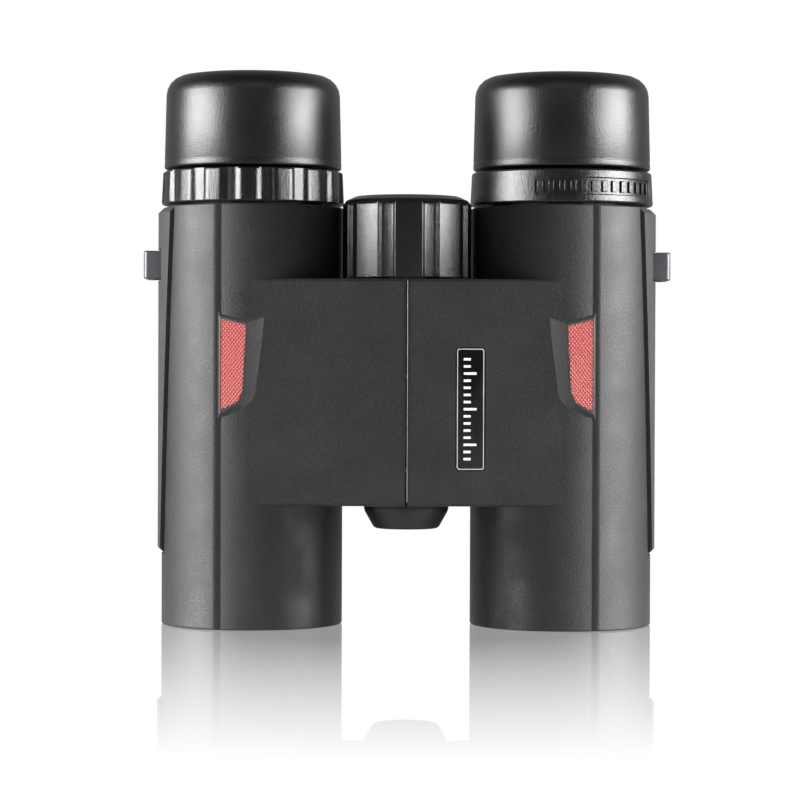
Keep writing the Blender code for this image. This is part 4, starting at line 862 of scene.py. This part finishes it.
def ribbedRing():
    shape = ringShape
    low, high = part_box("diopter_ring")
    foot = low.z + shape["chamfer"]
    steps = shape["ribs"] * shape["facetsPerRib"]
    bm = lathe(ringProfile(low.z, high.z, [foot + shape["footBand"]]), Vector(), steps)
    pitch = math.tau / shape["ribs"]
    floor = shape["outer"] - shape["ribDepth"]
    for v in bm.verts:
        turn = (math.atan2(v.co.y, v.co.x) + math.pi / 2) / pitch + 1e-6
        share = abs(turn - math.floor(turn) - 0.5)  # 0 in the middle of a groove, 0.5 on a rib
        if v.co.z < foot + shape["footBand"] / 2:
            continue
        rise = (share - shape["floorShare"]) / (shape["crestShare"] - shape["floorShare"])
        rise = min(1, max(0, rise))
        # A crest is a flat facet rather than part of the round
        half = (0.5 - shape["crestShare"]) * pitch
        flat = math.cos(half) / math.cos(min(half, (0.5 - share) * pitch))
        limit = (floor + shape["ribDepth"] * rise) * flat
        if v.co.xy.length > limit:
            v.co.xy = v.co.xy.normalized() * limit
    bmesh.ops.translate(bm, verts=bm.verts, vec=leftAxis)
    return meshObject(bm, "diopter_ring_ribbed")


diopterRing = finish(ribbedRing(), glossAbs, "diopter_ring", ["diopter_ring"], 25)
bevelled(diopterRing, ringShape["edge"])

windowShape = {
    "from": -110,  # degrees from +X
    "to": -20,
    "half": 1.9 * mm,
    "depth": 0.5 * mm,
    "bars": 13,
    "barWidth": 1.25 * mm,
    "barTall": 2.6 * mm,
    "barDepth": 0.46 * mm,
    "barRoot": 0.1 * mm,  # sunk into the window's floor
}


def windowRing(middle, deep):
    low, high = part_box("plain_eyepiece_ring")
    made = meshObject(lathe(ringProfile(low.z, high.z, []), rightAxis, 256), "plain_ring_windowed")
    start, end = math.radians(windowShape["from"]), math.radians(windowShape["to"])
    foot, top, clear = middle - windowShape["half"], middle + windowShape["half"], ringShape["outer"] + past
    section = [(deep, foot, 0), (clear, foot, 0), (clear, top, 0), (deep, top, 0)]
    cutter = lathe(section, Vector(), 48, end - start)
    bmesh.ops.rotate(cutter, verts=cutter.verts, cent=(0, 0, 0), matrix=Matrix.Rotation(start, 3, "Z"))
    bmesh.ops.translate(cutter, verts=cutter.verts, vec=rightAxis)
    carve(made, cutter)
    return made


def windowBars(middle, deep):
    shape = windowShape
    depth, root = shape["barDepth"], shape["barRoot"]
    bm = bmesh.new()
    for i in range(shape["bars"]):
        share = (i + 0.5) / shape["bars"]
        angle = math.radians(shape["from"] + (shape["to"] - shape["from"]) * share)
        cube = bmesh.ops.create_cube(bm, size=1)["verts"]
        bmesh.ops.scale(bm, verts=cube, vec=(depth + root, shape["barWidth"], shape["barTall"]))
        bmesh.ops.translate(bm, verts=cube, vec=(deep + depth / 2 - root / 2, 0, middle))
        bmesh.ops.rotate(bm, verts=cube, cent=(0, 0, 0), matrix=Matrix.Rotation(angle, 3, "Z"))
    bmesh.ops.translate(bm, verts=bm.verts, vec=rightAxis)
    return meshObject(bm, "plain_ring_bars")


windowMiddle = centreOf("plain_eyepiece_ring").z
windowFloor = ringShape["outer"] - ringShape["taper"] / 2 - windowShape["depth"]
plainRing = windowRing(windowMiddle, windowFloor)
finish(plainRing, glossAbs, "right_half", ["plain_eyepiece_ring"], 25)
bevelled(plainRing, ringShape["edge"])
ringBars = finish(windowBars(windowMiddle, windowFloor), glossAbs, "right_half")
bevelled(ringBars, ringShape["edge"])
print("eyepiece rings made")


# Eyecups

cupShape = {
    "foot": 20.6 * mm,
    "top": 20.1 * mm,
    "rim": 4.6 * mm,
    "wall": 2.1 * mm,
    "inner": 14.6 * mm,
    "innerRound": 1.1 * mm,
    "roof": 3.1 * mm,
    "lip": 0.5 * mm,
    "edge": 0.2 * mm,
    "lineHeight": 1.7 * mm,
    # The moulded line near its foot: heights from lineHeight, and depths
    "line": ((-0.2 * mm, 0), (-0.1 * mm, 0.08 * mm), (0.25 * mm, 0.08 * mm), (0.45 * mm, 0.02 * mm)),
}


def eyecup(name, low, high, axis):
    shape = cupShape
    foot, inner, edge, line = shape["foot"], shape["inner"], shape["edge"], low + shape["lineHeight"]
    wall, roof = foot - shape["wall"], high - shape["roof"]
    profile = [(wall, low, edge), (foot, low, shape["lip"])]
    profile += [(foot - depth, line + height, 0) for height, depth in shape["line"]]
    profile += [(shape["top"], high, shape["rim"]), (inner, high, shape["innerRound"])]
    profile += [(inner, roof, edge), (wall, roof, 0)]
    return meshObject(lathe(profile, axis, 192), name)


for name, side, axis in sides:
    low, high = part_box(name + "_eyecup_rubber")
    cup = eyecup(name + "_eyecup_cup", low.z, high.z, axis)
    finish(cup, eyecupRubber, name + "_eyecup", [name + "_eyecup_rubber"])
print("eyecups made")


# Focusing wheel

wheelShape = {
    "radius": 15.05 * mm,
    "crest": 14.97 * mm,
    "floor": 14.0 * mm,
    "ribs": 9,
    "ribShare": 0.61,
    "flankShare": 0.07,
    "ribEdge": 0.22 * mm,
    "phase": -90 + 1.4,  # degrees: the middle of a rib
    "rim": 2.2 * mm,
    "rimEdge": 0.12 * mm,
    "rimOverRibs": 0.5 * mm,
    # Inset, depth and fillet of the bevels round its top
    "rimSteps": ((0.95 * mm, 0.95 * mm, 0.1 * mm), (3.0 * mm, 0, 0.1 * mm)),
    "wall": 1.8 * mm,
    "web": 0.6 * mm,
    "boss": (6.9 * mm, 84.9 * mm),  # its radius and lower face
    # Radius, low and high
    "nutBore": (5.3 * mm, 84 * mm, 91.6 * mm),
    "rodBore": (3.3 * mm, 90 * mm, 96.1 * mm),
    "capRoom": 10.8 * mm,
    "capDepth": 1.3 * mm,
}


def wheelOutline():
    shape = wheelShape
    pitch = 360 / shape["ribs"]
    half = pitch * shape["ribShare"] / 2
    foot = half + pitch * shape["flankShare"]
    crest, floor = shape["crest"], shape["floor"]
    corners = ((-foot, floor), (-half, crest), (half, crest), (foot, floor))
    outline = []
    for i in range(shape["ribs"]):
        for offset, radius in corners:
            angle = math.radians(shape["phase"] + i * pitch + offset)
            outline.append((hingeAxis.x + radius * math.cos(angle), hingeAxis.y + radius * math.sin(angle)))
    return outline


def focusWheel():
    shape = wheelShape
    low, high = (corner.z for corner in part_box("focus_wheel"))
    rimLow = high - shape["rim"]
    ribs = prism(wheelOutline(), low, rimLow + shape["rimOverRibs"])
    made = meshObject(soften(ribs, shape["ribEdge"], 3, 20), "focus_wheel_ribbed")
    rim = [(0, rimLow, 0), (shape["radius"], rimLow, shape["rimEdge"])]
    rim += [(shape["radius"] - inset, high - depth, fillet) for inset, depth, fillet in shape["rimSteps"]]
    carve(made, lathe(rim + [(0, high, 0)], hingeAxis, 160), "UNION")
    inside, web = shape["floor"] - shape["wall"], rimLow - shape["web"]
    boss, bossLow = shape["boss"]
    carve(made, lathe(
        [(0, low - past, 0), (inside, low - past, 0), (inside, web, 0), (boss, web, 0), (boss, bossLow, 0),
         (0, bossLow, 0)],
        hingeAxis, 96,
    ))
    carve(made, cylinder(*shape["nutBore"], hingeAxis, 64))
    carve(made, cylinder(*shape["rodBore"], hingeAxis, 64))
    carve(made, cylinder(shape["capRoom"], high - shape["capDepth"], high + past, hingeAxis, 128))
    return made


finish(focusWheel(), glossAbs, "focus_wheel", ["focus_wheel"], 25)

# Radius, depth and fillet along the cap's top, from its edge to its middle: a ring groove, then a dimple
discTop = (
    (10.5 * mm, 0, 0.3 * mm),
    (9.4 * mm, 0, 0.1 * mm),
    (9.3 * mm, 0.25 * mm, 0.05 * mm),
    (8.9 * mm, 0.25 * mm, 0.05 * mm),
    (8.8 * mm, 0, 0.1 * mm),
    (2.4 * mm, 0, 0.2 * mm),
    (1.8 * mm, 0.35 * mm, 0.1 * mm),
    (0, 0.35 * mm, 0),
)
discFootEdge = 0.1 * mm

capLow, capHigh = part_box("focus_wheel_cap")
discProfile = [(0, capLow.z, 0), (discTop[0][0], capLow.z, discFootEdge)]
discProfile += [(radius, capHigh.z - depth, fillet) for radius, depth, fillet in discTop]
disc = meshObject(lathe(discProfile, hingeAxis, 128), "focus_wheel_disc")
finish(disc, glossAbs, "focus_wheel", ["focus_wheel_cap"])
print("focusing wheel made")


# Tripod cap under the hinge, with a coin slot

capShape = {
    "radius": 9.8 * mm,
    "edge": 0.25 * mm,
    "tip": 7.4 * mm,
    "tipEdge": 0.7 * mm,
    "straight": 1.6 * mm,
    "shoulderEdge": 0.6 * mm,
    "height": 5.9 * mm,
    "recess": 5.7 * mm,  # for the sealing ring, round the stub
    "recessDepth": 1.5 * mm,
    "stub": 2.9 * mm,
    "stubEdge": 0.3 * mm,
    "slotWidth": 1.4 * mm,
    "slotHalf": 5.2 * mm,
    "slotDepth": 0.9 * mm,
    "slotEnd": 0.5 * mm,
}


def tripodCap():
    shape = capShape
    low, high = (corner.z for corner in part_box("tripod_cap"))
    seat, radius, stub = low + shape["height"], shape["radius"], shape["stub"]
    recess, floor = shape["recess"], seat - shape["recessDepth"]
    made = meshObject(lathe(
        [(0, low, 0), (shape["tip"], low, shape["tipEdge"]),
         (radius, seat - shape["straight"], shape["shoulderEdge"]), (radius, seat, shape["edge"]),
         (recess, seat, 0), (recess, floor, 0), (stub, floor, 0), (stub, high, shape["stubEdge"]),
         (0, high, 0)],
        hingeAxis, 96,
    ), "tripod_cap_slotted")
    across = Vector((shape["slotHalf"], shape["slotWidth"] / 2, 0))
    slotLow = hingeAxis - across + Vector((0, 0, low - past))
    slotHigh = hingeAxis + across + Vector((0, 0, low + shape["slotDepth"]))
    carve(made, soften(boxBetween(slotLow, slotHigh), shape["slotEnd"], 3, 30, isUpright))
    return made


finish(tripodCap(), mouldedNylon, "tripod_cap", ["tripod_cap"])
print("tripod cap made")


# The CAD's own turned pieces, made again with rounds fine enough to look into

def fineTurned(node, middle):
    # The CAD piece cut through its axis, away from pins and slots, and its section spun round again
    source = frame["nodes"][node]
    bm = bmesh.new()
    bm.from_mesh(source.data)
    bmesh.ops.remove_doubles(bm, verts=bm.verts, dist=hair)
    bmesh.ops.translate(bm, verts=bm.verts, vec=-middle)
    cut = bmesh.ops.bisect_plane(
        bm, geom=bm.verts[:] + bm.edges[:] + bm.faces[:], dist=weld, plane_co=(0, 0, 0), plane_no=(1, 0, 0),
    )
    section = {e for e in cut["geom_cut"] if isinstance(e, bmesh.types.BMEdge)}
    half = {e for e in section if min(v.co.y for v in e.verts) > -hair}
    bmesh.ops.delete(bm, geom=[e for e in bm.edges if e not in half], context="EDGES")
    bmesh.ops.delete(bm, geom=[v for v in bm.verts if not v.link_edges], context="VERTS")
    bmesh.ops.dissolve_limit(bm, angle_limit=math.radians(0.5), verts=bm.verts, edges=bm.edges)
    bmesh.ops.spin(
        bm, geom=bm.verts[:] + bm.edges[:], axis=(0, 0, 1), cent=(0, 0, 0), angle=math.tau, steps=128,
        use_merge=True,
    )
    bmesh.ops.translate(bm, verts=bm.verts, vec=middle)
    slot = nodeSlots[node]
    finish(meshObject(bm, node + "_fine"), slotMaterials[slot], source["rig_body"], [node], 30)


hingeTurned = ("tripod_socket", "tripod_cap_seal", "lower_friction_washer", "upper_friction_washer")
barrelTurned = (
    "objective_cell", "objective_ring", "objective_crown_lens", "objective_flint_lens", "field_stop_plate",
    "eyepiece_tube", "eyepiece_cell", "field_lens", "eye_lens", "eye_lens_ring", "focus_lens",
    "eyecup_sleeve",
)
turnedAxes = {node: axisOf(node) for node in hingeTurned}
turnedAxes.update({name + "_" + piece: axis for name, side, axis in sides for piece in barrelTurned})
for node, axis in turnedAxes.items():
    fineTurned(node, axis)
print("turned pieces made:", len(turnedAxes))


# Stage: floor, light and camera

floorShape = {
    "half": 20,  # metres each way
    "drop": 0.05 * mm,
    "mirror": 0.72,  # how much of it is mirror at the object, gone between these two distances
    "fadeFrom": 0.045,
    "fadeTo": 0.232,
    "light": 0.35,  # how brightly it lights the object, where it looks pure white
}


def makeFloor():
    # A polished pale floor whose mirror image dies away with distance from the object
    shape = floorShape
    bm = bmesh.new()
    bmesh.ops.create_grid(bm, x_segments=1, y_segments=1, size=shape["half"])
    floor = meshObject(bm, "floor")
    floor.location.z = -shape["drop"]
    material = bpy.data.materials.new("polished white floor")
    material.use_nodes = True
    tree = material.node_tree
    tree.nodes.remove(tree.nodes["Principled BSDF"])
    place = addNode(tree, "ShaderNodeTexCoord").outputs["Object"]
    distance = addNode(tree, "ShaderNodeVectorMath", {"operation": "LENGTH"}, _0=place).outputs["Value"]
    share = remap(tree, distance, shape["fadeFrom"], shape["fadeTo"], shape["mirror"], 0)
    seen = addNode(tree, "ShaderNodeLightPath").outputs["Is Camera Ray"]
    white = addNode(tree, "ShaderNodeEmission", Strength=remap(tree, seen, 0, 1, shape["light"], 1))
    mirror = addNode(tree, "ShaderNodeBsdfGlossy", Roughness=0.0, Color=(1, 1, 1, 1))
    mixed = addNode(
        tree, "ShaderNodeMixShader", _0=share, _1=white.outputs["Emission"], _2=mirror.outputs["BSDF"],
    )
    # It is clear from below, so that the object's underside can be looked at
    below = addNode(tree, "ShaderNodeNewGeometry").outputs["Backfacing"]
    clear = addNode(tree, "ShaderNodeBsdfTransparent")
    either = addNode(
        tree, "ShaderNodeMixShader", _0=below, _1=mixed.outputs["Shader"], _2=clear.outputs["BSDF"],
    )
    tree.links.new(either.outputs["Shader"], tree.nodes["Material Output"].inputs["Surface"])
    floor.data.materials.append(material)


makeFloor()

# Brightness of the room in front of the object and behind it, and the y directions between which it changes
worldShape = {"front": 0.07, "back": 0.36, "changeFrom": -0.3, "changeTo": 0.5}


def makeWorld():
    # White where it is seen directly or in the floor, and a dimmer room for everything it lights
    shape = worldShape
    world = bpy.data.worlds.new("studio")
    bpy.context.scene.world = world
    world.use_nodes = True
    tree = world.node_tree
    background = tree.nodes["Background"]
    direction = addNode(tree, "ShaderNodeTexCoord").outputs["Generated"]
    ahead = addNode(tree, "ShaderNodeSeparateXYZ", Vector=direction).outputs["Y"]
    room = remap(tree, ahead, shape["changeFrom"], shape["changeTo"], shape["front"], shape["back"])
    path = addNode(tree, "ShaderNodeLightPath").outputs
    direct, mirrored = path["Is Camera Ray"], path["Is Singular Ray"]
    seen = addNode(tree, "ShaderNodeMath", {"operation": "MAXIMUM"}, _0=direct, _1=mirrored).outputs["Value"]
    strength = addNode(tree, "ShaderNodeMix", {"data_type": "FLOAT"}, _0=seen, _2=room, _3=1.0)
    tree.links.new(strength.outputs[0], background.inputs["Strength"])
    background.inputs["Color"].default_value = (1, 1, 1, 1)


makeWorld()

# Angles are in degrees from the front, aim is the height that a box faces
softBoxes = {
    "upper side box": {
        "angle": 70, "height": 0.185, "distance": 0.6, "aim": 0.1, "width": 0.46, "tall": 0.24,
        "radiance": 27,
    },
    "lower side box": {
        "angle": 84, "height": 0.05, "distance": 0.6, "aim": 0.05, "width": 0.3, "tall": 0.16,
        "radiance": 0.6,
    },
    "front fill": {
        "angle": 0, "height": 0.75, "distance": 1.0, "aim": 0.06, "width": 0.8, "tall": 0.5,
        "radiance": 0.8,
    },
}


def softBox(name, side=1, spared=None):
    shape = softBoxes[name]
    data = bpy.data.lights.new(name, "AREA")
    data.shape = "RECTANGLE"
    data.size = shape["width"]
    data.size_y = shape["tall"]
    data.energy = shape["radiance"] * math.pi * shape["width"] * shape["tall"]
    box = bpy.data.objects.new(name, data)
    bpy.context.scene.collection.objects.link(box)
    angle, distance = math.radians(shape["angle"] * side), shape["distance"]
    box.location = (distance * math.sin(angle), -distance * math.cos(angle), shape["height"])
    facing = Vector((0, 0, shape["aim"])) - box.location
    box.rotation_euler = facing.to_track_quat("-Z", "Y").to_euler()
    box.visible_camera = False
    if spared:
        # Light linking stands for a black card that keeps this box off one piece
        group = bpy.data.collections.new(name + " card")
        group.objects.link(bpy.data.objects[spared])
        box.light_linking.receiver_collection = group
        group.collection_objects[0].light_linking.link_state = "EXCLUDE"


for side, far in ((-1, "right"), (1, "left")):
    for box in ("upper side box", "lower side box"):
        softBox(box, side, far + "_armour_skin")
softBox("front fill")

# Angles are in degrees
cameraShape = {
    "place": (-0.00155, -0.6686, 0.0598), "below": 0.652, "roll": -0.21, "lens": 128.8, "sensor": 36,
}

cameraData = bpy.data.cameras.new("camera")
cameraData.lens = cameraShape["lens"]
cameraData.sensor_width = cameraShape["sensor"]
camera = bpy.data.objects.new("camera", cameraData)
bpy.context.scene.collection.objects.link(camera)
camera.location = cameraShape["place"]
camera.rotation_euler = (math.radians(90 - cameraShape["below"]), math.radians(cameraShape["roll"]), 0)
bpy.context.scene.camera = camera
bpy.context.scene.view_settings.view_transform = "Standard"
bpy.context.scene.view_settings.look = "None"
print("stage ready")
